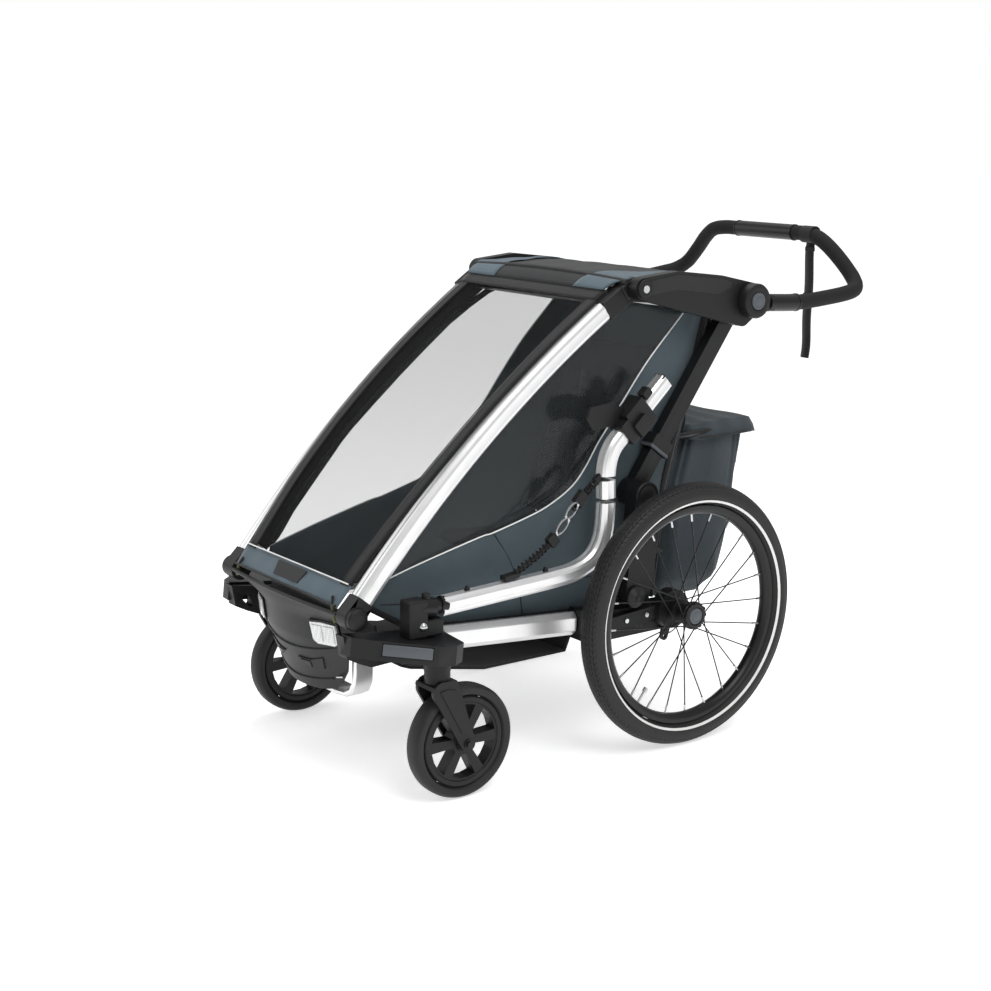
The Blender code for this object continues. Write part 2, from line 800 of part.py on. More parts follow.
def front_knuckle(label, side):
    y, z = FRONT_PIVOT
    low_y, low_z = TUBE_LOW
    dy, dz = TUBE_HIGH[0] - low_y, TUBE_HIGH[1] - low_z
    lean = atan2(dz, dy) + 4 * TUBE_BOW / hypot(dy, dz)
    half = TUBE_DEPTH / 2
    ends = [
        (low_y - half * sin(lean) * s - GAP * cos(lean), low_z + half * cos(lean) * s - GAP * sin(lean))
        for s in (1, -1)
    ]
    points = [Vector(p) for p in circle((y, z), 0.0205, 24) + ends]
    outline = [tuple(points[i]) for i in convex_hull_2d(points)]
    knuckle = plate(f"front_knuckle_{label}", outline, 0.1840 * side, 0.2145 * side, BLACK)
    knob = cylinder_x(f"knob_{label}", 0.0195, 0.2130 * side, 0.2235 * side, (y, z), None, 28)
    combine(knuckle, [knob])


def front_crossbar():
    y, z = along_bow(0.985, -0.003)
    span = TUBE_X - TUBE_WIDTH / 2 - 3 * GAP
    cylinder_x("front_crossbar", 0.010, -span, span, (y, z), BLACK, 14)


def front_window():
    """Front cover of mesh and apron, stretched over the fronts of the tubes."""
    half_widths = [(0.0, 0.181), (1 / 12, 0.183), (2 / 12, 0.2085), (1.0, 0.2225)]

    def point(u, v):
        y, z = along_bow(-0.050 + 1.040 * v, TUBE_DEPTH / 2 + 0.0024)
        return Vector(((u - 0.5) * 2 * interpolate(half_widths, v)[0], y, z))

    sheet("front_window", 2, 12, point, 0.003, MESH_GREY)


# ---- Roof, uprights and handlebar ----
def roof_bracket(label, side):
    (roof_y, roof_z), (hub_y, hub_z), (top_y, top_z) = ROOF_PIVOT, HANDLE_PIVOT, UPRIGHT_TOP
    outline = link_outline(
        [
            (roof_y, roof_z, 0.0200),
            (-0.010, 0.862, 0.0200),
            (0.095, 0.850, 0.0200),
            (hub_y, hub_z, 0.0330),
            (top_y, top_z, 0.0180),
        ],
        28,
    )
    bracket = plate(f"roof_bracket_{label}", outline, BRACKET_INNER * side, BRACKET_OUTER * side, BLACK)
    knob = cylinder_x(f"roof_knob_{label}", 0.0165, 0.2520 * side, 0.2610 * side, (roof_y, roof_z), None)
    pin = cylinder_x(f"top_pin_{label}", 0.0120, 0.2226 * side, 0.2350 * side, (top_y, top_z), None)
    combine(bracket, [knob, pin])


def upright(label, side):
    """Upright tube with the pivot eye at its foot."""
    (y, z), (top_y, top_z) = REAR_PIVOT, UPRIGHT_TOP
    inner = (UPRIGHT_X - UPRIGHT_WIDTH / 2) * side
    outer = (UPRIGHT_X + UPRIGHT_WIDTH / 2) * side
    half = UPRIGHT_DEPTH / 2
    outline = link_outline([(y, z, half), (top_y, top_z, half)])
    made = plate(f"upright_{label}", outline, inner, outer, BLACK)
    eye = cylinder_x(f"upright_eye_{label}", 0.0260, 0.1990 * side, 0.2255 * side, (y, z), None, 28)
    combine(made, [eye])


def along_upright(distance):
    (y, z), (top_y, top_z) = REAR_PIVOT, UPRIGHT_TOP
    angle = atan2(top_z - z, top_y - y)
    return y + distance * cos(angle), z + distance * sin(angle), angle


def lock_collar(label, side):
    """Sleeve that slides along the upright to lock or free the fold."""
    y, z, angle = along_upright(COLLAR_START + COLLAR_LENGTH / 2)
    size = (0.0300, COLLAR_LENGTH, 0.0480)
    place = (UPRIGHT_X * side, y, z)
    collar = box(f"lock_collar_{label}", size, place, BUTTON_GREY, (angle, 0, 0))
    bore_size = (UPRIGHT_WIDTH + 2 * GAP, 0.08, UPRIGHT_DEPTH + 4 * GAP)
    bore = box(f"collar_bore_{label}", bore_size, place, None, (angle, 0, 0))
    combine(collar, [bore], "DIFFERENCE")


def roof_fabric():
    stations = [
        (0.0, -0.112, 0.8630),
        (0.12, -0.095, 0.8690),
        (0.6, 0.040, 0.8700),
        (0.85, 0.130, 0.8560),
        (1.0, 0.168, 0.8300),
    ]

    def point(u, v):
        y, z = interpolate(stations, v)
        x = (u - 0.5) * 2 * (BRACKET_INNER - 0.0015)
        return Vector((x, y, z + 0.008 * cos(pi * x / 0.5)))

    sheet("roof_fabric", 4, 7, point, 0.004, BLUE_GREY)


def handle_half():
    """Centre line from the left hub to the middle of the bar."""
    return [
        (0.2620, 0.2090, 0.8140),
        (0.2650, 0.290, 0.8110),
        (0.2680, 0.370, 0.8165),
        (0.2690, 0.424, 0.8230),
        (0.2600, 0.452, 0.8300),
        (0.2400, 0.466, 0.8460),
        (0.2100, 0.466, 0.8750),
        (0.1780, 0.460, 0.9040),
        (0.1500, 0.456, 0.9210),
        (0.1180, 0.458, 0.9265),
        (0.0800, 0.462, 0.9265),
        (0.0, 0.462, 0.9265),
    ]


def handlebar():
    half = handle_half()
    knots = half + [(-x, y, z) for x, y, z in reversed(half[:-1])]
    bar_tube = tube("handlebar", smooth_path(knots, 2), HANDLE_TUBE_RADIUS, BLACK, 1)
    y, z = HANDLE_PIVOT
    helpers = []
    cups = []
    for side, label in ((1, "left"), (-1, "right")):
        inner, outer = HANDLE_DISC_INNER * side, HANDLE_DISC_OUTER * side
        helpers.append(cylinder_x(f"disc_{label}", HANDLE_DISC_RADIUS, inner, outer, (y, z), None, 32))
        web = link_outline([(y, z, 0.0150), (0.222, 0.8128, 0.0135)])
        helpers.append(plate(f"web_{label}", web, inner, 0.2740 * side, None))
        cup_radius = HUB_BUTTON_RADIUS + 0.0006
        cups.append(cylinder_x(f"cup_{label}", cup_radius, 0.2665 * side, 0.2800 * side, (y, z), None, 24))
    combine(bar_tube, helpers)
    combine(bar_tube, cups, "DIFFERENCE")


def hub_button(label, side):
    y, z = HANDLE_PIVOT
    profile = [(0.0, 0.0100), (0.0130, 0.0096), (HUB_BUTTON_RADIUS, 0.0080)]
    profile += [(HUB_BUTTON_RADIUS, 0.0), (0.0, 0.0)]
    turned(f"hub_button_{label}", profile, 0.2705, (y, z), side, BUTTON_GREY, 24)


def wrist_strap():
    box("wrist_strap", (0.020, 0.005, 0.2330), (0.127, 0.4600, 0.7915), WEBBING)


# ---- Cabin ----
def side_wall(label, side):
    """Side panel with its window; it steps in behind the axle to pass the uprights."""
    lower = [
        (0.0, -0.628, 0.330),
        (0.10, -0.570, 0.284),
        (0.25, -0.470, 0.270),
        (0.65, -0.200, 0.253),
        (0.80, -0.110, 0.252),
        (1.0, -0.004, 0.252),
    ]
    upper = [
        (0.0, -0.632, 0.352),
        (0.12, -0.575, 0.436),
        (0.30, -0.455, 0.570),
        (0.50, -0.325, 0.678),
        (0.70, -0.205, 0.768),
        (0.86, -0.085, 0.836),
        (1.0, 0.132, 0.812),
    ]

    def point(u, v):
        y0, z0 = interpolate(lower, u)
        y1, z1 = interpolate(upper, u)
        y = y0 + (y1 - y0) * v
        z = z0 + (z1 - z0) * v
        forward = max(0.0, (TUBE_HIGH[0] - y) / (TUBE_HIGH[0] - TUBE_LOW[0]))
        return Vector(((CABIN_HALF_WIDTH - TOE_IN * forward) * side, y, z))

    sheet(f"side_wall_{label}", 10, 3, point, 0.005, BLUE_GREY)


def back_panel():
    stations = [
        (0.0, 0.004, 0.254),
        (0.4, 0.032, 0.470),
        (0.65, 0.070, 0.600),
        (0.85, 0.112, 0.705),
        (1.0, 0.140, 0.795),
    ]

    def point(u, v):
        y, z = interpolate(stations, v)
        return Vector(((u - 0.5) * 2 * 0.186, y, z))

    sheet("back_panel", 2, 8, point, 0.005, BLUE_GREY)


SEAT_HINGE = (-0.045, 0.366)
SEAT_TOP = (0.068, 0.735)


def seat_pad():
    pad = box("seat_pad", (2 * SEAT_HALF_WIDTH, 0.215, 0.032), (0, -0.165, 0.342), BLACK, (radians(-4), 0, 0))
    round_edges(pad, 0.008, 2)


def seat_back():
    (y, z), (top_y, top_z) = SEAT_HINGE, SEAT_TOP
    lean = atan2(top_y - y, top_z - z)
    length = hypot(top_y - y, top_z - z)
    shape = bmesh.new()
    bmesh.ops.create_cube(shape, size=1.0)
    bmesh.ops.scale(shape, vec=(2 * SEAT_HALF_WIDTH, 0.028, length), verts=shape.verts)
    bmesh.ops.translate(shape, vec=(0, 0, length / 2), verts=shape.verts)
    pad = add_bmesh("seat_back", shape, BLACK, (0, y, z), (-lean, 0, 0))
    round_edges(pad, 0.007, 2)


def harness():
    """Two shoulder straps that meet at the buckle, lying on the seat back."""
    (y, z), (top_y, top_z) = SEAT_HINGE, SEAT_TOP
    lean = atan2(top_y - y, top_z - z)
    outline = [
        (-0.058, 0.300),
        (-0.038, 0.300),
        (-0.020, 0.120),
        (0.020, 0.120),
        (0.038, 0.300),
        (0.058, 0.300),
        (0.036, 0.085),
        (0.018, 0.045),
        (-0.018, 0.045),
        (-0.036, 0.085),
    ]
    shape = flat_shape("harness", [outline], 0.006)
    place = Vector((0, y, z)) + Vector((0, -0.0190 * cos(lean), 0.0190 * sin(lean)))
    add_bmesh("harness", shape, WEBBING, place, (pi / 2 - lean, 0, 0))


# ---- Cargo bag ----
def cargo_frame():
    half = [(0.1795, 0.0665, 0.561), (0.1795, 0.090, 0.561), (0.1740, 0.120, 0.561), (0.167, 0.180, 0.561)]
    half += [(0.160, 0.245, 0.561), (0.146, 0.266, 0.561), (0.110, 0.274, 0.561), (0.0, 0.277, 0.561)]
    knots = half + [(-x, y, z) for x, y, z in reversed(half[:-1])]
    tube("cargo_frame", smooth_path(knots, 2), 0.0055, BLACK, 1)


def cargo_bag():
    outline = [
        (0.045, 0.238),
        (0.190, 0.236),
        (0.222, 0.262),
        (0.250, 0.420),
        (0.268, 0.553),
        (0.096, 0.553),
        (0.068, 0.470),
    ]
    plate("cargo_bag", outline, -BAG_HALF_WIDTH, BAG_HALF_WIDTH, BLUE_GREY)


def build_side(label, side):
    for make in (
        side_rail,
        rear_bracket,
        suspension_knob,
        suspension_arm,
        wing,
        wing_button,
        caster_fork,
        caster_wheel,
        caster_tyre,
        tyre,
        rim,
        spoke_hub,
        axle_button,
        front_tube,
        front_knuckle,
        roof_bracket,
        upright,
        lock_collar,
        hub_button,
        side_wall,
    ):
        make(label, side)


build_side("left", 1)
build_side("right", -1)
axle_beam()
floor_pan()
brake_pedal()
bumper_plate()
skid_bar()
hitch_socket()
hitch_arm()
hitch_clip()
safety_strap()
front_crossbar()
front_window()
roof_fabric()
handlebar()
wrist_strap()
back_panel()
seat_pad()
seat_back()
harness()
cargo_frame()
cargo_bag()
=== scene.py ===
"""Looks of the child bicycle trailer: camera, studio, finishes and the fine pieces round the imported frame."""

import json
from math import atan2, cos, hypot, pi, radians, sin, tau

import bmesh
import bpy
from mathutils import Matrix, Vector

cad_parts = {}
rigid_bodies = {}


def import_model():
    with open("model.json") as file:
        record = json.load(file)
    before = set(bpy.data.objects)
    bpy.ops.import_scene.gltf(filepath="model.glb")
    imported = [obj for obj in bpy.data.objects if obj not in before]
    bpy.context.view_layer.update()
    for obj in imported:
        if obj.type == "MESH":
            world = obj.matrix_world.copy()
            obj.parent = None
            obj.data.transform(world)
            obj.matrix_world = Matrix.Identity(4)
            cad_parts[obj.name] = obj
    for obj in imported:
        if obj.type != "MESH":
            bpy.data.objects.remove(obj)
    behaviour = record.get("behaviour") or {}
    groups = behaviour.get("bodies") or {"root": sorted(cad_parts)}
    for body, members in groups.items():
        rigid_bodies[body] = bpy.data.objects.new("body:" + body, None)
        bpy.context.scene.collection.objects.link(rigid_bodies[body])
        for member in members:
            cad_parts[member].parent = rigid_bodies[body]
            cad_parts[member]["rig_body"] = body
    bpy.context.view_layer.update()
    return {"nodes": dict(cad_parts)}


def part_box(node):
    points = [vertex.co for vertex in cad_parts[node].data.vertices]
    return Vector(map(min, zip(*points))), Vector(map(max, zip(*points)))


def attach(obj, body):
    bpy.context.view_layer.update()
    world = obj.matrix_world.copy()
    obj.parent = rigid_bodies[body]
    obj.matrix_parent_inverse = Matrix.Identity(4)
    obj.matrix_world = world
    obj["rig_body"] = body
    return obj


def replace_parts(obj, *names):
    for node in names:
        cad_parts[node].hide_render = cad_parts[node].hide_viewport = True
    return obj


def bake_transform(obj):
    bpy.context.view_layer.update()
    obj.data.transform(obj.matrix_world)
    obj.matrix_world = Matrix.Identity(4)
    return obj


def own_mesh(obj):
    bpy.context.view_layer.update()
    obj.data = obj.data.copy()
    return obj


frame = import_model()

SIDES = (("left", 1), ("right", -1))


def middle(node):
    low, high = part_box(node)
    return (low + high) / 2


AXLE_Y = middle("tyre_left").y
WHEEL_X = middle("tyre_left").x
WHEEL_RADIUS = middle("tyre_left").z
CASTER = middle("caster_tyre_left")
HUB = middle("hub_button_left")

# Lengths along the machine are counted from the rear axle.
TUBE_LOW = (-0.6505, 0.3568)
TUBE_HIGH = (-0.118, 0.838)
TUBE_BOW = 0.028
TUBE_X = 0.215
TOE_IN = 0.0165
WALL_X = 0.190


def at(x, y, z):
    """A place counted from the rear axle."""
    return Vector((x, y + AXLE_Y, z))


# ---- Camera, floor and light ----
def camera():
    yaw, pitch, roll = 0.93668, 0.21442, 0.00855
    ahead = Vector((-sin(yaw) * cos(pitch), cos(yaw) * cos(pitch), -sin(pitch)))
    level = Vector((cos(yaw), sin(yaw), 0))
    up = level.cross(ahead)
    right = level * cos(roll) + up * sin(roll)
    over = up * cos(roll) - level * sin(roll)
    made = bpy.data.objects.new("camera", bpy.data.cameras.new("camera"))
    bpy.context.scene.collection.objects.link(made)
    made.data.lens = 63.43
    made.data.sensor_width = 36
    turn = Matrix((right, over, -ahead)).transposed().to_4x4()
    made.matrix_world = Matrix.Translation(at(2.6080, -2.1453, 1.1539)) @ turn
    bpy.context.scene.camera = made


def linear(code):
    """sRGB hex to linear RGBA."""
    values = [int(code[i : i + 2], 16) / 255 for i in (1, 3, 5)]
    return (*[v / 12.92 if v <= 0.04045 else ((v + 0.055) / 1.055) ** 2.4 for v in values], 1.0)


def add(tree, kind, inputs=None, **settings):
    """Adds a node; an input is given a value or, from another node, a socket."""
    made = tree.nodes.new(kind)
    for name, value in settings.items():
        setattr(made, name, value)
    for name, value in (inputs or {}).items():
        if isinstance(value, bpy.types.NodeSocket):
            tree.links.new(value, made.inputs[name])
        else:
            made.inputs[name].default_value = value
    return made


def studio():
    floor = bmesh.new()
    bmesh.ops.create_grid(floor, x_segments=1, y_segments=1, size=30)
    mesh = bpy.data.meshes.new("floor")
    floor.to_mesh(mesh)
    ground = bpy.data.objects.new("floor", mesh)
    bpy.context.scene.collection.objects.link(ground)
    ground.location.z = -0.0005
    paint = bpy.data.materials.new("studio_floor")
    paint.use_nodes = True
    shader = paint.node_tree.nodes["Principled BSDF"]
    shader.inputs["Base Color"].default_value = linear("#f2f2f2")
    shader.inputs["Roughness"].default_value = 0.9
    shader.inputs["Specular IOR Level"].default_value = 0.1
    shader.inputs["Emission Color"].default_value = (1, 1, 1, 1)
    shader.inputs["Emission Strength"].default_value = 0.55
    mesh.materials.append(paint)
    world = bpy.data.worlds.new("studio")
    world.use_nodes = True
    background = world.node_tree.nodes["Background"]
    ray = add(world.node_tree, "ShaderNodeLightPath").outputs["Is Camera Ray"]
    strength = add(world.node_tree, "ShaderNodeMapRange", {"Value": ray, "To Min": 0.60, "To Max": 1.0})
    background.inputs["Color"].default_value = (1, 1, 1, 1)
    world.node_tree.links.new(strength.outputs["Result"], background.inputs["Strength"])
    bpy.context.scene.world = world
    bpy.context.scene.view_settings.view_transform = "Standard"
    for name, place, size, power in (
        ("key", (2.4, -0.6, 3.0), 1.6, 46),
        ("top", (-0.4, 0.6, 3.4), 2.4, 36),
        ("rim", (-2.6, -2.2, 2.0), 2.0, 16),
    ):
        lamp = bpy.data.lights.new(name, "AREA")
        lamp.size = size
        lamp.energy = power
        made = bpy.data.objects.new(name, lamp)
        bpy.context.scene.collection.objects.link(made)
        made.location = place
        made.rotation_euler = (Vector((0, 0, 0.4)) - Vector(place)).to_track_quat("-Z", "Y").to_euler()


camera()
studio()

# ---- Finishes ----
LOOKS = {}
WAVE_TURN = 1000 * tau / 20  # scale that gives a wave texture one band to the millimetre


def look(name, colour, roughness, metallic=0.0, alpha=1.0, specular=0.5, coat=0.0, sheen=0.0):
    """A principled finish to which patterns are then added."""
    made = bpy.data.materials.new(name)
    made.use_nodes = True
    shader = made.node_tree.nodes["Principled BSDF"]
    values = {
        "Base Color": linear(colour),
        "Roughness": roughness,
        "Metallic": metallic,
        "Alpha": alpha,
        "Specular IOR Level": specular,
        "Coat Weight": coat,
        "Sheen Weight": sheen,
    }
    for socket, value in values.items():
        shader.inputs[socket].default_value = value
    LOOKS[name] = made
    return made.node_tree, shader


def vary(tree, shader, place, scale, dark, pale, detail=4.0):
    """Soft colour variation between two colours."""
    noise = add(tree, "ShaderNodeTexNoise", {"Vector": place, "Scale": scale, "Detail": detail})
    mix = add(
        tree,
        "ShaderNodeMix",
        {0: noise.outputs["Fac"], 6: linear(dark), 7: linear(pale)},
        data_type="RGBA",
    )
    tree.links.new(mix.outputs[2], shader.inputs["Base Color"])
    return mix


def raise_by(tree, shader, height, depth, strength=1.0):
    bump = add(tree, "ShaderNodeBump", {"Height": height, "Distance": depth, "Strength": strength})
    tree.links.new(bump.outputs["Normal"], shader.inputs["Normal"])


def moulded(name, dark, pale, roughness, grain_mm=0.9, metallic=0.0):
    """Injection moulded nylon: even colour under a fine spark eroded grain."""
    tree, shader = look(name, pale, roughness, metallic, specular=0.30)
    place = add(tree, "ShaderNodeTexCoord").outputs["Object"]
    vary(tree, shader, place, 9.0, dark, pale)
    grain = add(tree, "ShaderNodeTexNoise", {"Vector": place, "Scale": 1000 / grain_mm, "Detail": 2.0})
    raise_by(tree, shader, grain.outputs["Fac"], 0.0003, 0.35)


def woven(name, dark, pale, roughness, thread_mm=1.3, alpha=1.0, sheen=0.15):
    """Plain woven polyester: threads over and under, drawn a little coarse so that they show."""
    tree, shader = look(name, pale, roughness, alpha=alpha, specular=0.25, sheen=sheen)
    cloth = add(tree, "ShaderNodeTexCoord").outputs["UV"]
    place = add(tree, "ShaderNodeTexCoord").outputs["Object"]
    threads = []
    for direction in ("X", "Y"):
        wave = add(
            tree,
            "ShaderNodeTexWave",
            {"Vector": cloth, "Scale": WAVE_TURN / thread_mm, "Distortion": 0.4, "Detail": 1.0},
            bands_direction=direction,
        )
        threads.append(wave.outputs["Fac"])
    weave = add(tree, "ShaderNodeMath", {0: threads[0], 1: threads[1]}, operation="MULTIPLY")
    blotch = add(tree, "ShaderNodeTexNoise", {"Vector": place, "Scale": 14.0, "Detail": 5.0})
    share = add(
        tree, "ShaderNodeMath", {0: weave.outputs[0], 1: 0.5, 2: blotch.outputs["Fac"]},
        operation="MULTIPLY_ADD",
    )
    mix = add(
        tree, "ShaderNodeMix", {0: share.outputs[0], 6: linear(dark), 7: linear(pale)}, data_type="RGBA"
    )
    tree.links.new(mix.outputs[2], shader.inputs["Base Color"])
    raise_by(tree, shader, weave.outputs[0], 0.0004, 0.5)


def finishes():
    # Glass filled nylon, spark grained moulds: even dark grey with a dull broad highlight.
    moulded("grained_black_nylon", "#101011", "#19191a", 0.46)
    moulded("grained_grey_nylon", "#1d1d1e", "#262627", 0.48)
    # Moulded ABS buttons: smoother, with a finer grain.
    moulded("satin_button_plastic", "#474c50", "#565b60", 0.4, 0.6)
    # Powder coated aluminium: the coat hides the metal, so it is satin and not metallic.
    moulded("satin_black_alloy", "#101011", "#1a1a1b", 0.3, 0.5, 0.0)
    # Closed cell foam: matt, its cells drawn coarse so that they show.
    moulded("foam_grip", "#131314", "#1c1c1d", 0.8, 1.6)
    # Woven polyester of the walls, bag and trims, open mesh, webbing and piping tape.
    woven("blue_grey_polyester", "#46555e", "#56656e", 0.8)
    # The side walls' cloth is the blue-grey polyester drawn darker: painted shade on the walls.
    woven("wall_painted_shade_polyester", "#3b474d", "#4a565c", 0.8)
    woven("bag_polyester", "#2a3338", "#373f44", 0.8)
    woven("black_polyester", "#0f0f10", "#1a1a1b", 0.8)
    woven("see_through_mesh", "#161616", "#222222", 0.9, 1.8, 0.22, 0.0)
    woven("roof_mesh", "#141516", "#202223", 0.9, 1.8)
    woven("seat_fabric", "#161617", "#212122", 0.9, 2.0, 1.0, 0.0)
    woven("black_webbing", "#121213", "#222223", 0.8, 1.8)
    woven("olive_webbing", "#55563a", "#6b6c49", 0.8, 1.2)
    woven("white_piping", "#e2e2e0", "#f4f4f2", 0.6, 1.0)
    # Anodised aluminium: etched matt, bright, with a soft sheen along the tube.
    tree, shader = look("silver_anodised_aluminium", "#e4e4e4", 0.30, 0.75)
    place = add(tree, "ShaderNodeTexCoord").outputs["Object"]
    vary(tree, shader, place, 30.0, "#d9d9da", "#ececec")
    fine = add(tree, "ShaderNodeTexNoise", {"Vector": place, "Scale": 2200.0, "Detail": 1.0})
    raise_by(tree, shader, fine.outputs["Fac"], 0.0001, 0.2)
    # Polished zinc and stainless small parts.
    tree, shader = look("polished_steel", "#c9cacb", 0.18, 1.0)
    place = add(tree, "ShaderNodeTexCoord").outputs["Object"]
    vary(tree, shader, place, 60.0, "#b9babb", "#d4d5d6")
    # Soft vinyl, glossy. The left window, on the hitch side, is drawn dark and half opaque as painted shade of the
    # cabin behind it; the right one is nearly clear.
    for name, colour, alpha in (("shade_painted_vinyl", "#34383a", 0.34), ("clear_vinyl", "#5a6062", 0.07)):
        tree, shader = look(name, colour, 0.12, alpha=alpha, specular=0.4)
        place = add(tree, "ShaderNodeTexCoord").outputs["Object"]
        ripple = add(tree, "ShaderNodeTexNoise", {"Vector": place, "Scale": 7.0, "Detail": 2.0})
        raise_by(tree, shader, ripple.outputs["Fac"], 0.006, 0.4)
    # Vulcanised black rubber of tyres and casters: matt, with a very fine moulded grain.
    tree, shader = look("wall_rubber", "#1c1c1d", 0.55, specular=0.35)
    place = add(tree, "ShaderNodeTexCoord").outputs["Object"]
    vary(tree, shader, place, 20.0, "#171718", "#212122")
    fine = add(tree, "ShaderNodeTexNoise", {"Vector": place, "Scale": 900.0})
    raise_by(tree, shader, fine.outputs["Fac"], 0.0003, 0.3)
    # Reflective tape: fine beads in a pale film.
    tree, shader = look("reflective_ring", "#dcdcda", 0.4, specular=0.7)
    place = add(tree, "ShaderNodeTexCoord").outputs["Object"]
    beads = add(tree, "ShaderNodeTexVoronoi", {"Vector": place, "Scale": 900.0})
    raise_by(tree, shader, beads.outputs["Distance"], 0.0002, 0.5)
    vary(tree, shader, place, 50.0, "#cfcfcd", "#ececea")
    # Prismatic reflectors: moulded acrylic with a waffle behind a glossy face.
    for name, dark, pale in (
        ("clear_reflector", "#b9babb", "#f4f5f5"), ("red_reflector", "#5e0c0a", "#a3120d")
    ):
        tree, shader = look(name, pale, 0.12, specular=0.8, coat=0.6)
        place = add(tree, "ShaderNodeTexCoord").outputs["Object"]
        prisms = add(tree, "ShaderNodeTexVoronoi", {"Vector": place, "Scale": 260.0, "Randomness": 0.2})
        mix = add(
            tree,
            "ShaderNodeMix",
            {0: prisms.outputs["Distance"], 6: linear(pale), 7: linear(dark)},
            data_type="RGBA",
        )
        tree.links.new(mix.outputs[2], shader.inputs["Base Color"])
        raise_by(tree, shader, prisms.outputs["Distance"], 0.0008, 0.6)


finishes()

# Slot and finish of the pieces that share them.
NYLON = ("black_plastic", "grained_black_nylon")
GREY_NYLON = ("grey_plastic", "grained_grey_nylon")
BUTTON = ("button_plastic", "satin_button_plastic")
TUBE = ("anodised_tube", "silver_anodised_aluminium")
BLACK_TRIM = ("black_plastic", "satin_black_alloy")
STEEL = ("spoke_steel", "polished_steel")
BLACK_STEEL = ("spoke_steel", "satin_black_alloy")
WEBBING = ("webbing", "black_webbing")
BLUE_CLOTH = ("body_fabric", "blue_grey_polyester")
BAG_CLOTH = ("body_fabric", "bag_polyester")
BINDING = ("mesh_fabric", "black_polyester")
STITCH = ("body_fabric", "black_webbing")
PIPING = ("body_fabric", "white_piping")
BLACK_ALLOY = ("black_alloy", "satin_black_alloy")


# ---- Making pieces ----
def finish_piece(made, body, finish, smooth_angle=32):
    """Gives a piece its finish, shading and body."""
    made.data.materials.clear()
    made.data.materials.append(LOOKS[finish])
    made.data.shade_smooth()
    if smooth_angle:
        made.data.set_sharp_from_angle(angle=radians(smooth_angle))
    if body:
        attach(made, body)
    return made


def piece(name, shape, body, slot, finish, smooth_angle=32):
    """A piece from a bmesh, its faces pointing out."""
    bmesh.ops.recalc_face_normals(shape, faces=shape.faces)
    mesh = bpy.data.meshes.new(name)
    shape.to_mesh(mesh)
    shape.free()
    made = bpy.data.objects.new(name, mesh)
    bpy.context.scene.collection.objects.link(made)
    return finish_piece(made, body, finish, smooth_angle)


def soften(made, width, segments=2, angle=30):
    bevel = made.modifiers.new("edges", "BEVEL")
    bevel.width = width
    bevel.segments = segments
    bevel.angle_limit = radians(angle)
    bevel.harden_normals = True
    return made


def refined(node, slot, finish, width=0.001, name=None):
    """A CAD solid with its edges rounded and its round faces smooth."""
    shape = bmesh.new()
    shape.from_mesh(frame["nodes"][node].data)
    bmesh.ops.remove_doubles(shape, verts=shape.verts, dist=0.00002)
    bmesh.ops.dissolve_limit(shape, angle_limit=radians(1), verts=shape.verts, edges=shape.edges)
    made = piece(name or f"{node}_shell", shape, frame["nodes"][node]["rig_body"], slot, finish)
    if width:
        soften(made, width)
    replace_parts(made, node)
    return made


def box(shape, centre, size, turn=None):
    """Adds a box to a bmesh."""
    matrix = Matrix.Translation(centre) @ (turn or Matrix()).to_4x4() @ Matrix.Diagonal((*size, 1))
    return bmesh.ops.create_cube(shape, size=1.0, matrix=matrix)["verts"]


def rod(shape, start, end, radius, segments=12, tip=None):
    """Adds a round rod between two places."""
    way = end - start
    matrix = Matrix.Translation((start + end) / 2) @ way.to_track_quat("Z", "Y").to_matrix().to_4x4()
    bmesh.ops.create_cone(
        shape,
        cap_ends=True,
        segments=segments,
        radius1=radius,
        radius2=radius if tip is None else tip,
        depth=way.length,
        matrix=matrix,
    )


def turned(shape, profile, centre, side=1, steps=64):
    """Spins a profile of (along x, radius) about an axis along X; a radius of 0 closes it."""
    rim = [shape.verts.new(centre + Vector((x * side, 0, r))) for x, r in profile]
    edges = [shape.edges.new(pair) for pair in zip(rim, rim[1:])]
    bmesh.ops.spin(
        shape, geom=rim + edges, cent=centre, axis=(1, 0, 0), dvec=(0, 0, 0), angle=tau, steps=steps,
        use_merge=True
    )
    bmesh.ops.remove_doubles(shape, verts=shape.verts, dist=0.00001)


def slab(shape, outline, x_from, x_to):
    """Adds a plate: an outline of (y, z) from the axle, as thick as from x_from to x_to."""
    corners = [shape.verts.new(at(x_from, y, z)) for y, z in outline]
    face = shape.faces.new(corners)
    grown = bmesh.ops.extrude_face_region(shape, geom=[face])["geom"]
    moved = [g for g in grown if isinstance(g, bmesh.types.BMVert)]
    bmesh.ops.translate(shape, vec=(x_to - x_from, 0, 0), verts=moved)


def smooth_path(points, steps=6):
    """Catmull-Rom curve through points of any dimension."""
    ends = [Vector(p) for p in points]
    ends = [2 * ends[0] - ends[1], *ends, 2 * ends[-1] - ends[-2]]
    path = []
    for a, b, c, d in zip(ends, ends[1:], ends[2:], ends[3:]):
        for i in range(steps):
            t = i / steps
            path.append(
                (
                    (2 * b) + (c - a) * t + (2 * a - 5 * b + 4 * c - d) * t * t + (3 * b - a - 3 * c + d) * t**3
                ) / 2
            )
    return path + [ends[-2]]


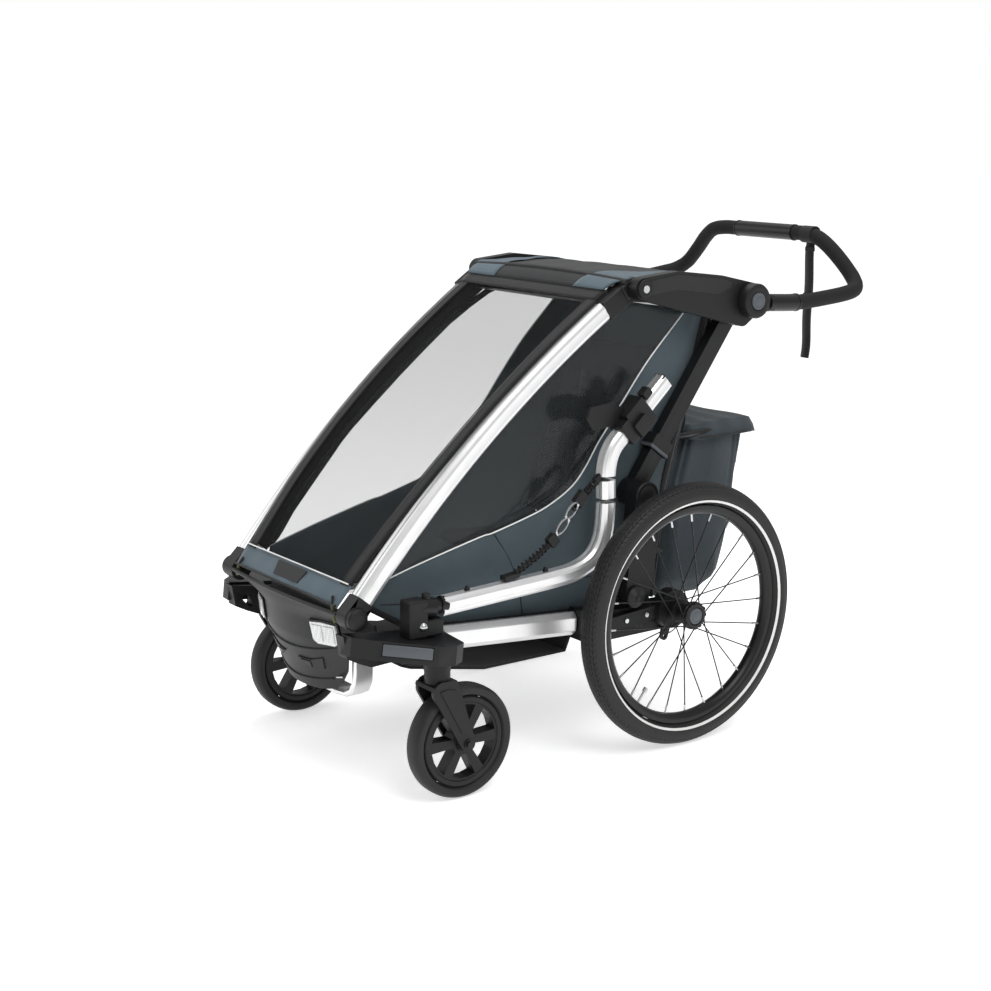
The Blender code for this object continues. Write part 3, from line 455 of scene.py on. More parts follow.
def swept(name, path, body, slot, finish, radius=None, section=None, sides=3, smooth_angle=32):
    """A round bar, or a bar of a given section, along a path, with its ends closed."""
    line = bpy.data.curves.new(name, "CURVE")
    line.dimensions = "3D"
    line.twist_mode = "Z_UP"
    line.use_fill_caps = True
    spline = line.splines.new("POLY")
    spline.points.add(len(path) - 1)
    for point, place in zip(spline.points, path):
        point.co = (*place, 1)
    helper = None
    if section:
        outline = bpy.data.curves.new("section", "CURVE")
        edge = outline.splines.new("POLY")
        edge.points.add(len(section) - 1)
        for point, (x, y) in zip(edge.points, section):
            point.co = (x, y, 0, 1)
        edge.use_cyclic_u = True
        helper = bpy.data.objects.new("section", outline)
        line.bevel_mode = "OBJECT"
        line.bevel_object = helper
    else:
        line.bevel_depth = radius
        line.bevel_resolution = sides
    guide = bpy.data.objects.new("guide", line)
    bpy.context.scene.collection.objects.link(guide)
    bpy.context.view_layer.update()
    mesh = bpy.data.meshes.new_from_object(guide.evaluated_get(bpy.context.evaluated_depsgraph_get()))
    bpy.data.objects.remove(guide)
    if helper:
        bpy.data.objects.remove(helper)
    mesh.name = name
    shape = bmesh.new()
    shape.from_mesh(mesh)
    bpy.data.meshes.remove(mesh)
    bmesh.ops.remove_doubles(shape, verts=shape.verts, dist=0.00002)
    return piece(name, shape, body, slot, finish, smooth_angle)


def ribbon(name, path, widths, across, body, slot, finish, thickness=0.0012):
    """Flat webbing along a path; across gives its width's direction."""
    length = sum((b - a).length for a, b in zip(path, path[1:]))
    shape = bmesh.new()
    rows = len(path) - 1
    bmesh.ops.create_grid(shape, x_segments=2, y_segments=rows, size=0.5)
    uv = shape.loops.layers.uv.new("cloth")
    for vertex in shape.verts:
        row = round((vertex.co.y + 0.5) * rows)
        vertex.co = (vertex.co.x + 0.5, row, 0)
    for face in shape.faces:
        for loop in face.loops:
            u, v, _ = loop.vert.co
            loop[uv].uv = (u * widths, v / rows * length)
    for vertex in shape.verts:
        u, row, _ = vertex.co
        vertex.co = path[round(row)] + Vector(across) * widths * (u - 0.5)
    made = piece(name, shape, body, slot, finish, 0)
    thicken(made, thickness)
    return made


def thicken(made, thickness, offset=0.0):
    wall = made.modifiers.new("thickness", "SOLIDIFY")
    wall.thickness = thickness
    wall.offset = offset


def panel(name, columns, rows, place, size, body, slot, finish, thickness=0.0016, rests_on=()):
    """A sheet of cloth: place(u, v) for u and v from 0 to 1, with its weave laid out to its real size."""
    shape = bmesh.new()
    bmesh.ops.create_grid(shape, x_segments=columns, y_segments=rows, size=0.5)
    uv = shape.loops.layers.uv.new("cloth")
    for face in shape.faces:
        for loop in face.loops:
            loop[uv].uv = ((loop.vert.co.x + 0.5) * size[0], (loop.vert.co.y + 0.5) * size[1])
    for vertex in shape.verts:
        vertex.co = place(vertex.co.x + 0.5, vertex.co.y + 0.5)
    area = sum(face.calc_area() for face in shape.faces)
    made = piece(name, shape, body, slot, finish, 0)
    thicken(made, thickness)
    if rests_on:
        settle(made)
    return made


def settle(made):
    """Applies the modifiers, so that the mesh is final."""
    mesh = bpy.data.meshes.new_from_object(made.evaluated_get(bpy.context.evaluated_depsgraph_get()))
    made.modifiers.clear()
    made.data = mesh


def curve_at(path, share):
    """The place at a share of a list of points."""
    scaled = min(max(share, 0.0), 1.0) * (len(path) - 1)
    index = min(int(scaled), len(path) - 2)
    return path[index].lerp(path[index + 1], scaled - index)


def reading(stations, share):
    """Linear reading of rows of (share, value, ...)."""
    for low, high in zip(stations, stations[1:]):
        if share <= high[0]:
            part = (share - low[0]) / (high[0] - low[0])
            return [a + (b - a) * part for a, b in zip(low[1:], high[1:])]
    return list(stations[-1][1:])


def eased(value):
    value = min(1.0, max(0.0, value))
    return value * value * (3 - 2 * value)


def settled(made):
    settle(made)
    return made


def lower_with_fold(made):
    """Gives the piece a mesh of its own."""
    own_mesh(made)


def on_bow(t, lift=0.0):
    """(y, z) on the front tube's middle line, lifted off its outer side."""
    (y0, z0), (y1, z1) = TUBE_LOW, TUBE_HIGH
    dy, dz = y1 - y0, z1 - z0
    length = hypot(dy, dz)
    rise = 4 * TUBE_BOW * t * (1 - t) + lift
    return y0 + dy * t - rise * dz / length, z0 + dz * t + rise * dy / length


# ---- Rear wheels ----
TYRE_SIDE = [(0.0105, 0.2092), (0.0165, 0.2125), (0.0215, 0.2180), (0.0233, 0.2245), (0.0226, 0.2315)]
TYRE_TREAD = [(0.0200, 0.2385), (0.0160, 0.2430), (0.0110, 0.2462), (0.0055, 0.2480), (0.0, 0.2486)]
TREAD_STEPS = 132


def mirrored(profile):
    """A profile from one side round to the other, its middle point once."""
    return profile + [(-x, r) for x, r in reversed(profile[:-1])]


def tyre(label, side):
    """Tyre with shallow staggered tread blocks between thin sipes."""
    centre = Vector((WHEEL_X * side, AXLE_Y, WHEEL_RADIUS))
    shape = bmesh.new()
    profile = mirrored(TYRE_SIDE + TYRE_TREAD)
    turned(shape, profile + [(-0.006, 0.2092), (0.006, 0.2092), profile[0]], centre, side, TREAD_STEPS)
    for x, r in (TYRE_TREAD[1], TYRE_TREAD[3]):
        for end in (x, -x):
            ring = [v for v in shape.verts if abs(v.co.x - centre.x - end) < 0.0002]
            ring = [v for v in ring if abs(hypot(v.co.y - centre.y, v.co.z - centre.z) - r) < 0.0003]
            bmesh.ops.rotate(shape, verts=ring, cent=centre, matrix=Matrix.Rotation(pi / TREAD_STEPS, 3, "X"))
    bmesh.ops.recalc_face_normals(shape, faces=shape.faces)
    tread = []
    for face in shape.faces:
        middle_of = face.calc_center_median() - centre
        if hypot(middle_of.y, middle_of.z) > 0.2395:
            tread.append(face)
    bmesh.ops.inset_individual(shape, faces=tread, thickness=0.0007, depth=0.0009)
    made = piece(f"tyre_{label}_rubber", shape, f"wheel_{label}", "tyre_rubber", "wall_rubber", 24)
    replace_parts(made, f"tyre_{label}")
    rings = bmesh.new()
    for face in (1, -1):
        band = [(0.0198, 0.2145), (0.0202, 0.2145), (0.0227, 0.2186), (0.0223, 0.2188)]
        turned(rings, [(x * face, r) for x, r in band + band[:1]], centre, side, 96)
    piece(f"tyre_{label}_ring", rings, f"wheel_{label}", "tyre_rubber", "reflective_ring")


def wheel(label, side):
    body = f"wheel_{label}"
    centre = Vector((WHEEL_X * side, AXLE_Y, WHEEL_RADIUS))
    tyre(label, side)
    rim = bmesh.new()
    half = [(0.0118, 0.2083), (0.0128, 0.2070), (0.0130, 0.1998), (0.0120, 0.1975), (0.0080, 0.1925)]
    profile = mirrored(half + [(0.0030, 0.1903), (0.0, 0.1900)])
    turned(rim, profile + [profile[0]], centre, side, 96)
    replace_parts(piece(f"rim_{label}_shell", rim, body, *BLACK_ALLOY), f"rim_{label}")
    spokes = bmesh.new()
    nipples = bmesh.new()
    for i in range(24):
        flange = 0.0122 if i % 2 == 0 else -0.0205
        lean = 1 if (i // 2) % 2 == 0 else -1
        outer = tau * i / 24
        inner = outer + lean * radians(74)
        start = Vector(((flange + lean * 0.0017) * side, 0.0205 * cos(inner), 0.0205 * sin(inner)))
        end = Vector((0, 0.1905 * cos(outer), 0.1905 * sin(outer)))
        rod(spokes, centre + start, centre + end, 0.00125, 8)
        rod(nipples, centre + end.lerp(start, 0.075), centre + end, 0.0022, 8)
    piece(f"spokes_{label}", spokes, body, *BLACK_STEEL)
    valve = Vector((0, cos(radians(232)), sin(radians(232))))
    rod(nipples, centre + valve * 0.165, centre + valve * 0.191, 0.0028, 12)
    rod(nipples, centre + valve * 0.160, centre + valve * 0.168, 0.0045, 12)
    piece(f"nipples_{label}", nipples, body, *STEEL)
    hub = bmesh.new()
    shell = [
        (0.0125, 0.0), (0.0125, 0.0163), (0.0220, 0.0166), (0.0228, 0.0178), (0.0228, 0.0228),
        (0.0210, 0.0245),
    ]
    shell += [(0.0165, 0.0248), (0.0150, 0.0262), (0.0105, 0.0262), (0.0085, 0.0240), (0.0062, 0.0160)]
    shell += [
        (-0.0160, 0.0155), (-0.0180, 0.0238), (-0.0230, 0.0238), (-0.0242, 0.0160), (-0.0378, 0.0160),
        (-0.0378, 0.0),
    ]
    turned(hub, shell, centre, side, 48)
    made = piece(f"hub_{label}_shell", hub, body, *NYLON)
    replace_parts(made, f"spoke_hub_{label}")
    lugs = bmesh.new()
    for i in range(12):
        turn = Matrix.Rotation(tau * i / 12, 3, "X")
        box(lugs, centre + turn @ Vector((0.0192 * side, 0, 0.0245)), (0.0068, 0.0062, 0.0024), turn)
    soften(piece(f"hub_{label}_lugs", lugs, body, *NYLON), 0.0006)
    button = bmesh.new()
    dome = [(0.0166, 0.0), (0.0166, 0.0152), (0.0212, 0.0154), (0.0226, 0.0146), (0.0232, 0.0128)]
    dome += [(0.0228, 0.0108), (0.0224, 0.0098), (0.0230, 0.0088), (0.0240, 0.0060), (0.0244, 0.0)]
    turned(button, dome, centre, side, 48)
    made = piece(f"axle_button_{label}_cap", button, f"axle_button_{label}", *BUTTON)
    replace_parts(made, f"axle_button_{label}")


# ---- Casters ----
def caster(label, side):
    centre = Vector((CASTER.x * side, CASTER.y, CASTER.z))
    rubber = bmesh.new()
    half = [
        (0.0115, 0.0818), (0.0160, 0.0850), (0.0179, 0.0905), (0.0172, 0.0960), (0.0140, 0.0996),
        (0.0085, 0.1014),
    ]
    profile = mirrored(half + [(0.0, 0.1018)])
    turned(rubber, profile + [(-0.004, 0.0818), (0.004, 0.0818), profile[0]], centre, side, 80)
    made = piece(
        f"caster_tyre_{label}_rubber", rubber, f"caster_wheel_{label}", "caster_rubber", "wall_rubber"
    )
    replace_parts(made, f"caster_tyre_{label}")
    refined(f"caster_wheel_{label}", *NYLON, 0.0016)
    trim = bmesh.new()
    for face in (1, -1):
        flange = [
            (0.0132, 0.0700), (0.0150, 0.0712), (0.0150, 0.0788), (0.0125, 0.0812), (0.0110, 0.0700),
            (0.0132, 0.0700),
        ]
        turned(trim, [(x * face, r) for x, r in flange], centre, side, 64)
    piece(f"caster_rim_{label}", trim, f"caster_wheel_{label}", *NYLON)
    refined(f"caster_fork_{label}", *NYLON, 0.0018)
    bolts = bmesh.new()
    panels = bmesh.new()
    for face in (1, -1):
        leg = CASTER.x + face * 0.0277
        leg_outline = [
            (-0.562, 0.206), (-0.545, 0.208), (-0.529, 0.204), (-0.498, 0.128), (-0.505, 0.118),
            (-0.517, 0.124),
        ]
        slab(panels, leg_outline, leg * side, (leg + face * 0.0016) * side)
        head = Vector(((leg + face * 0.001) * side, centre.y, centre.z))
        rod(bolts, head, head + Vector((face * side * 0.0012, 0, 0)), 0.0088, 24)
        rod(bolts, head, head + Vector((face * side * 0.0050, 0, 0)), 0.0062, 6)
    soften(piece(f"caster_leg_panels_{label}", panels, f"caster_{label}", *NYLON), 0.0012)
    soften(piece(f"caster_bolts_{label}", bolts, f"caster_{label}", *BLACK_STEEL), 0.0004)


# ---- Front wings, bumper and rails ----
def wing(label, side):
    refined(f"wing_{label}", *NYLON, 0.0016)
    refined(f"wing_button_{label}", *BUTTON, 0.0010)
    refined(f"side_rail_{label}", *TUBE, 0.0012)
    refined(f"front_knuckle_{label}", *NYLON, 0.0012)
    knob = bmesh.new()
    low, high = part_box(f"front_knuckle_{label}")
    face = (high.x if side > 0 else low.x) * side
    centre = Vector((face * side, AXLE_Y - 0.673, 0.3305))
    dome = [
        (-0.0010, 0.0), (-0.0010, 0.0185), (0.0010, 0.0178), (0.0030, 0.0150), (0.0042, 0.0090), (0.0045, 0.0)
    ]
    turned(knob, dome, centre, side, 48)
    piece(f"front_knob_{label}", knob, "front_frame", *NYLON)


BUMPER_FACES = [
    (0.150, -0.652, 3.5),
    (0.200, -0.664, 2.4),
    (0.235, -0.676, 2.1),
    (0.262, -0.686, 1.9),
    (0.302, -0.6925, 1.95),
    (0.322, -0.697, 0.7),
    (0.341, -0.699, 0.13),
]
BUMPER_HALF = [
    (0.0, 0.088),
    (0.05, 0.099),
    (0.11, 0.107),
    (0.224, 0.122),
    (0.454, 0.139),
    (0.626, 0.153),
    (0.80, 0.170),
    (0.90, 0.180),
    (1.0, 0.1836),
]


def bumper_face(x, z, lift):
    """A place on the nose shield's outer face."""
    for low, high in zip(BUMPER_FACES, BUMPER_FACES[1:]):
        if z <= high[0]:
            break
    share = (z - low[0]) / (high[0] - low[0])
    front, bow = [a + (b - a) * share for a, b in zip(low[1:], high[1:])]
    return at(x, front + bow * x * x - 0.003 - lift, z)


def on_bumper(shape, outline, lift, depth):
    """A plate lying on the nose shield."""
    face = shape.faces.new([shape.verts.new(bumper_face(x, z, -0.001)) for x, z in outline])
    grown = bmesh.ops.extrude_face_region(shape, geom=[face])["geom"]
    moved = [g for g in grown if isinstance(g, bmesh.types.BMVert)]
    bmesh.ops.translate(shape, vec=(0, -(lift + depth), 0), verts=moved)


def shield_place(u, v):
    half = reading(BUMPER_HALF, v)[0]
    x = (u - 0.5) * 2 * half
    low = 0.161 + 0.0075 * (x / half) ** 4
    return bumper_face(x, low + (0.335 - low) * v, -0.003)


def bumper():
    shield = bmesh.new()
    bmesh.ops.create_grid(shield, x_segments=40, y_segments=36, size=0.5)
    for vertex in shield.verts:
        vertex.co = shield_place(vertex.co.x + 0.5, vertex.co.y + 0.5)
    made = piece("nose_shield", shield, "frame", *GREY_NYLON, 0)
    thicken(made, 0.006)
    soften(made, 0.0016, angle=50)
    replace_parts(made, "bumper_plate")
    refined("skid_bar", *TUBE, 0.0012)
    clear = bmesh.new()
    slots = bmesh.new()
    bezels = bmesh.new()
    for side in (1, -1):
        corners = [
            (0.085, 0.298), (0.109, 0.3005), (0.134, 0.298), (0.137, 0.266), (0.128, 0.259),
            (0.096, 0.259), (0.088, 0.266),
        ]
        on_bumper(clear, [(x * side, z) for x, z in corners], 0.0045, 0.0030)
        grown = [(0.111 + (x - 0.111) * 1.16, 0.279 + (z - 0.279) * 1.18) for x, z in corners]
        on_bumper(bezels, [(x * side, z) for x, z in grown], 0.0030, 0.0020)
        for x_from, x_to in ((0.0900, 0.1090), (0.1125, 0.1320)):
            bars = [(x_from, 0.294), (x_to, 0.294), (x_to, 0.264), (x_from + 0.002, 0.264)]
            on_bumper(clear, [(x * side, z) for x, z in bars], 0.0060, 0.0030)
        triangle = [(0.022, 0.2175), (0.058, 0.2185), (0.088, 0.2280), (0.083, 0.2060), (0.058, 0.1985)]
        on_bumper(slots, [(x * side, z) for x, z in triangle], 0.0032, 0.0010)
        inner = [(0.030, 0.2145), (0.056, 0.2150), (0.056, 0.2030)]
        on_bumper(bezels, [(x * side, z) for x, z in inner], 0.0048, 0.0010)
    soften(piece("nose_reflectors", clear, "frame", "button_plastic", "clear_reflector", 20), 0.0009)
    soften(piece("nose_bezels", bezels, "frame", "grey_plastic", "satin_black_alloy", 20), 0.0008)
    piece("nose_slots", slots, "frame", *NYLON, 20)
    for name, reach, low, high, radius in (
        ("waist", 0.150, 0.236, 0.262, 0.0024), ("foot", 0.092, 0.176, 0.188, 0.0020)
    ):
        ridge = []
        for i in range(33):
            x = reach * (i / 16 - 1)
            ridge.append(bumper_face(x, low + (high - low) * (x / reach) ** 2, 0.0010))
        swept(f"nose_ridge_{name}", ridge, "frame", *GREY_NYLON, radius=radius, sides=2)
    lip = [bumper_face(0.1825 * (i / 16 - 1), 0.334, 0.0005) for i in range(33)]
    swept("nose_lip", lip, "frame", *GREY_NYLON, radius=0.0036, sides=3)
    corners = ((0.119, 0.219), (0.092, 0.212), (0.083, 0.205), (0.082, 0.197), (0.092, 0.191), (0.120, 0.198))
    loop = [at(x, -0.640, z) for x, z in corners]
    swept("nose_loop", smooth_path(loop), "frame", "anodised_tube", "polished_steel", radius=0.0019)


# ---- Front tubes, roof frame and handlebar ----
def creased_section(width, depth):
    """Section of the drawn tube: a shallow valley down each broad face."""
    across, up = width / 2, depth / 2
    quarter = [
        (0.0, up - 0.0012), (across * 0.35, up), (across - 0.006, up - 0.0008), (across - 0.0015, up - 0.0050)
    ]
    quarter += [(across, up - 0.0100), (across - 0.0008, 0.0)]
    right = quarter + [(x, -y) for x, y in reversed(quarter[:-1])]
    return right + [(-x, y) for x, y in reversed(right[1:-1])]


def front_tubes():
    for label, side in SIDES:
        path = []
        for i in range(37):
            t = i / 36
            y, z = on_bow(t)
            path.append(at((TUBE_X - TOE_IN * (1 - t)) * side, y, z))
        made = swept(
            f"front_tube_{label}_drawn",
            path,
            "front_frame",
            *TUBE,
            section=creased_section(0.032, 0.036),
            smooth_angle=20,
        )
        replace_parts(made, f"front_tube_{label}")
        head = bmesh.new()
        y, z = on_bow(0.975)
        low_y, low_z = on_bow(0.950)
        slant = Matrix.Rotation(atan2(z - low_z, y - low_y), 3, "X")
        box(head, at(TUBE_X * side, y, z), (0.0345, 0.050, 0.0385), slant)
        box(head, at((TUBE_X + 0.002) * side, -0.100, 0.8530), (0.0300, 0.036, 0.030), slant)
        soften(piece(f"front_tube_head_{label}", head, "front_frame", *NYLON), 0.0035, 3)
        lining = []
        for i in range(33):
            t = 0.03 + 0.92 * i / 32
            y, z = on_bow(t)
            lining.append(at((TUBE_X - TOE_IN * (1 - t) - 0.0172) * side, y, z))
        swept(
            f"front_tube_lining_{label}",
            lining,
            "front_frame",
            *BINDING,
            section=[(-0.0012, 0.0185), (0.0012, 0.0185), (0.0012, -0.0185), (-0.0012, -0.0185)],
        )
    refined("front_crossbar", *BLACK_TRIM, 0)


def roof_frame():
    rivets = bmesh.new()
    for label, side in SIDES:
        refined(f"roof_bracket_{label}", *NYLON, 0.0020)
        refined(f"upright_{label}", *BLACK_ALLOY, 0.0015)
        refined(f"lock_collar_{label}", "button_plastic", "grained_black_nylon", 0.0030)
        low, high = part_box(f"lock_collar_{label}")
        ring = bmesh.new()
        slant = Matrix.Rotation(radians(54.46), 3, "X")
        foot = (low + high) / 2 - slant @ Vector((0, 0.0105, 0))
        box(ring, foot, (0.0330, 0.0070, 0.0510), slant)
        soften(piece(f"lock_ring_{label}", ring, f"lock_collar_{label}", *BUTTON), 0.0028, 3)
        face = 0.2555 * side
        trim = bmesh.new()
        rim = [
            (-0.075, 0.868), (-0.010, 0.876), (0.095, 0.864), (0.122, 0.858), (0.122, 0.846), (0.090, 0.836)
        ]
        rim += [(-0.010, 0.849), (-0.078, 0.842)]
        slab(trim, rim, face - 0.0010 * side, face + 0.0012 * side)
        soften(
            piece(f"roof_bracket_badge_{label}", trim, "roof", "black_plastic", "grained_grey_nylon", 20),
            0.0010,
        )
        knob = bmesh.new()
        dome = [(-0.0010, 0.0), (-0.0010, 0.0170), (0.0040, 0.0168), (0.0056, 0.0152), (0.0060, 0.0120)]
        dome += [(0.0052, 0.0108), (0.0052, 0.0)]
        turned(knob, dome, at(face, -0.090, 0.854), side, 48)
        piece(f"roof_knob_{label}", knob, "roof", *NYLON)
        head = at(face + 0.0050 * side, -0.090, 0.854)
        rod(rivets, head, head + Vector((0.0016 * side, 0, 0)), 0.0070, 20)
    soften(piece("roof_rivets", rivets, "roof", *STEEL), 0.0005)


HANDLE_HALF = [
    (0.2620, 0.2090, 0.8140),
    (0.2650, 0.2900, 0.8110),
    (0.2680, 0.3700, 0.8165),
    (0.2690, 0.4240, 0.8230),
    (0.2600, 0.4520, 0.8300),
    (0.2400, 0.4660, 0.8460),
    (0.2100, 0.4660, 0.8750),
    (0.1780, 0.4600, 0.9040),
    (0.1500, 0.4560, 0.9210),
    (0.1180, 0.4580, 0.9265),
    (0.0800, 0.4620, 0.9265),
    (0.0, 0.4620, 0.9265),
]


def handlebar():
    knots = [at(*p) for p in HANDLE_HALF]
    knots += [Vector((-p.x, p.y, p.z)) for p in reversed(knots[:-1])]
    path = smooth_path(knots, 8)
    middle_piece = [p for p in path if abs(p.x) < 0.082]
    foam = swept("handlebar_foam", path, "handlebar", "grip_foam", "foam_grip", radius=0.0148, sides=6)
    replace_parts(foam, "handlebar")
    swept("handlebar_centre", middle_piece, "handlebar", *BLACK_TRIM, radius=0.0160, sides=6)
    seams = bmesh.new()
    for end in (middle_piece[0], middle_piece[-1]):
        rod(seams, end - Vector((0.0016, 0, 0)), end + Vector((0.0016, 0, 0)), 0.0167, 32)
    for label, side in SIDES:
        sleeve = [p for p in path if p.x * side > 0.2 and p.y - AXLE_Y < 0.285]
        sleeve.sort(key=lambda p: p.y)
        swept(f"handlebar_sleeve_{label}", sleeve, "handlebar", *BLACK_TRIM, radius=0.0165, sides=6)
        rod(seams, sleeve[-1], sleeve[-1] + Vector((0, 0.004, 0)), 0.0171, 32)
        centre = Vector((HUB.x * side, HUB.y, HUB.z))
        disc = bmesh.new()
        shell = [(-0.0200, 0.0), (-0.0200, 0.0325), (-0.0030, 0.0325), (0.0, 0.0310), (0.0010, 0.0280)]
        shell += [(0.0012, 0.0200), (0.0004, 0.0172), (-0.0098, 0.0170), (-0.0098, 0.0)]
        turned(disc, shell, at(0.2765 * side, 0.172, 0.820), side, 64)
        piece(f"handle_disc_{label}", disc, "handlebar", *NYLON)
        web = bmesh.new()
        slab(
            web, [(0.172, 0.804), (0.172, 0.836), (0.222, 0.8275), (0.222, 0.7985)], 0.2560 * side,
            0.2738 * side,
        )
        soften(piece(f"handle_web_{label}", web, "handlebar", *NYLON), 0.003, 3)
        button = bmesh.new()
        cap = [(-0.0050, 0.0), (-0.0050, 0.0160), (0.0030, 0.0161), (0.0044, 0.0150), (0.0050, 0.0128)]
        cap += [(0.0046, 0.0110), (0.0040, 0.0100), (0.0046, 0.0090), (0.0052, 0.0)]
        turned(button, cap, centre, side, 48)
        made = piece(f"hub_button_{label}_cap", button, f"hub_button_{label}", *BUTTON)
        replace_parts(made, f"hub_button_{label}")
    piece("handlebar_seams", seams, "handlebar", "grip_foam", "satin_black_alloy")
    strap = [at(0.127, 0.460, z) for z in (0.911, 0.905, 0.890, 0.85, 0.80, 0.76, 0.72, 0.69, 0.6765)]
    fine = smooth_path(strap, 4)
    for i, point in enumerate(fine):
        point.y += 0.0012 * sin(i * 0.55)
    front = [p + Vector((0, -0.0011, 0)) for p in fine]
    back = [p + Vector((0, 0.0011 + 0.0014 * sin(pi * i / (len(fine) - 1)), 0)) for i, p in enumerate(fine)]
    webbing = ribbon(
        "wrist_strap_webbing", front + list(reversed(back)), 0.020, (1, 0, 0), "handlebar", *WEBBING,
    )
    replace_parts(webbing, "wrist_strap")
    keepers = bmesh.new()
    for z in (0.896, 0.803):
        box(keepers, at(0.127, 0.460, z), (0.0225, 0.0062, 0.009))
    soften(piece("wrist_strap_keepers", keepers, "handlebar", "webbing", "grained_black_nylon"), 0.0012)
    wrap = bmesh.new()
    turned(
        wrap, [(-0.015, 0.0150), (-0.015, 0.0170), (0.015, 0.0170), (0.015, 0.0150), (-0.015, 0.0150)],
        at(0.127, 0.4572, 0.9255), 1, 40,
    )
    piece("wrist_strap_wrap", wrap, "handlebar", *WEBBING)


# ---- Rear brackets, suspension, beams ----
def rear_end(label, side):
    for node, width in (("rear_bracket", 0.0018), ("suspension_arm", 0.0012), ("suspension_knob", 0.0)):
        slot_name = "grey_plastic" if node == "suspension_knob" else "black_plastic"
        finish = "grained_grey_nylon" if node == "suspension_knob" else "grained_black_nylon"
        refined(f"{node}_{label}", slot_name, finish, width)
    pivot = bmesh.new()
    dome = [(-0.0020, 0.0), (-0.0020, 0.0262), (0.0010, 0.0268), (0.0030, 0.0250), (0.0036, 0.0205)]
    dome += [(0.0030, 0.0190), (0.0048, 0.0150), (0.0056, 0.0)]
    turned(pivot, dome, at(0.2545 * side, -0.070, 0.475), side, 48)
    piece(f"upright_pivot_{label}", pivot, "frame", *NYLON)
    arm = bmesh.new()
    for share in (0.30, 0.62):
        spot = at(0.2478 * side, -0.152 * (1 - share), 0.238 + 0.012 * share)
        rod(arm, spot, spot + Vector((0.0028 * side, 0, 0)), 0.0050, 6)
    soften(piece(f"suspension_bolts_{label}", arm, f"suspension_{label}", *STEEL), 0.0004)
    marks = bmesh.new()
    centre = at(0.268 * side, -0.095, 0.288)
    for i in range(10):
        turn = Matrix.Rotation(tau * i / 10, 3, "X")
        box(marks, centre + turn @ Vector((-0.0095 * side, 0, 0.0198)), (0.0060, 0.0045, 0.0016), turn)
    rod(marks, centre - Vector((0.0002 * side, 0, 0)), centre + Vector((0.0016 * side, 0, 0)), 0.0058, 6)
    soften(
        piece(
            f"suspension_grip_{label}", marks, f"suspension_knob_{label}", "grey_plastic", "satin_black_alloy"
        ),
        0.0005,
    )


def underframe():
    refined("axle_beam", *BLACK_ALLOY, 0.001)
    refined("brake_pedal", *GREY_NYLON, 0.001)
    refined("floor_pan", "black_plastic", "black_polyester", 0)
    treads = bmesh.new()
    for i in range(5):
        box(treads, at(0, 0.040 + i * 0.008, 0.2268 - i * 0.0008), (0.076, 0.003, 0.0016))
    piece("brake_pedal_ribs", treads, "brake_pedal", "grey_plastic", "grained_black_nylon")
    cable = [
        at(0.2050, 0.034, 0.236), at(0.215, 0.060, 0.232), at(0.226, 0.052, 0.214),
        at(0.236, 0.022, 0.199), at(0.2385, -0.002, 0.1955),
    ]
    swept("brake_cable", smooth_path(cable, 8), "frame", *STEEL, radius=0.0016)


# ---- Hitch arm ----
STRAP_SLANT = radians(48)


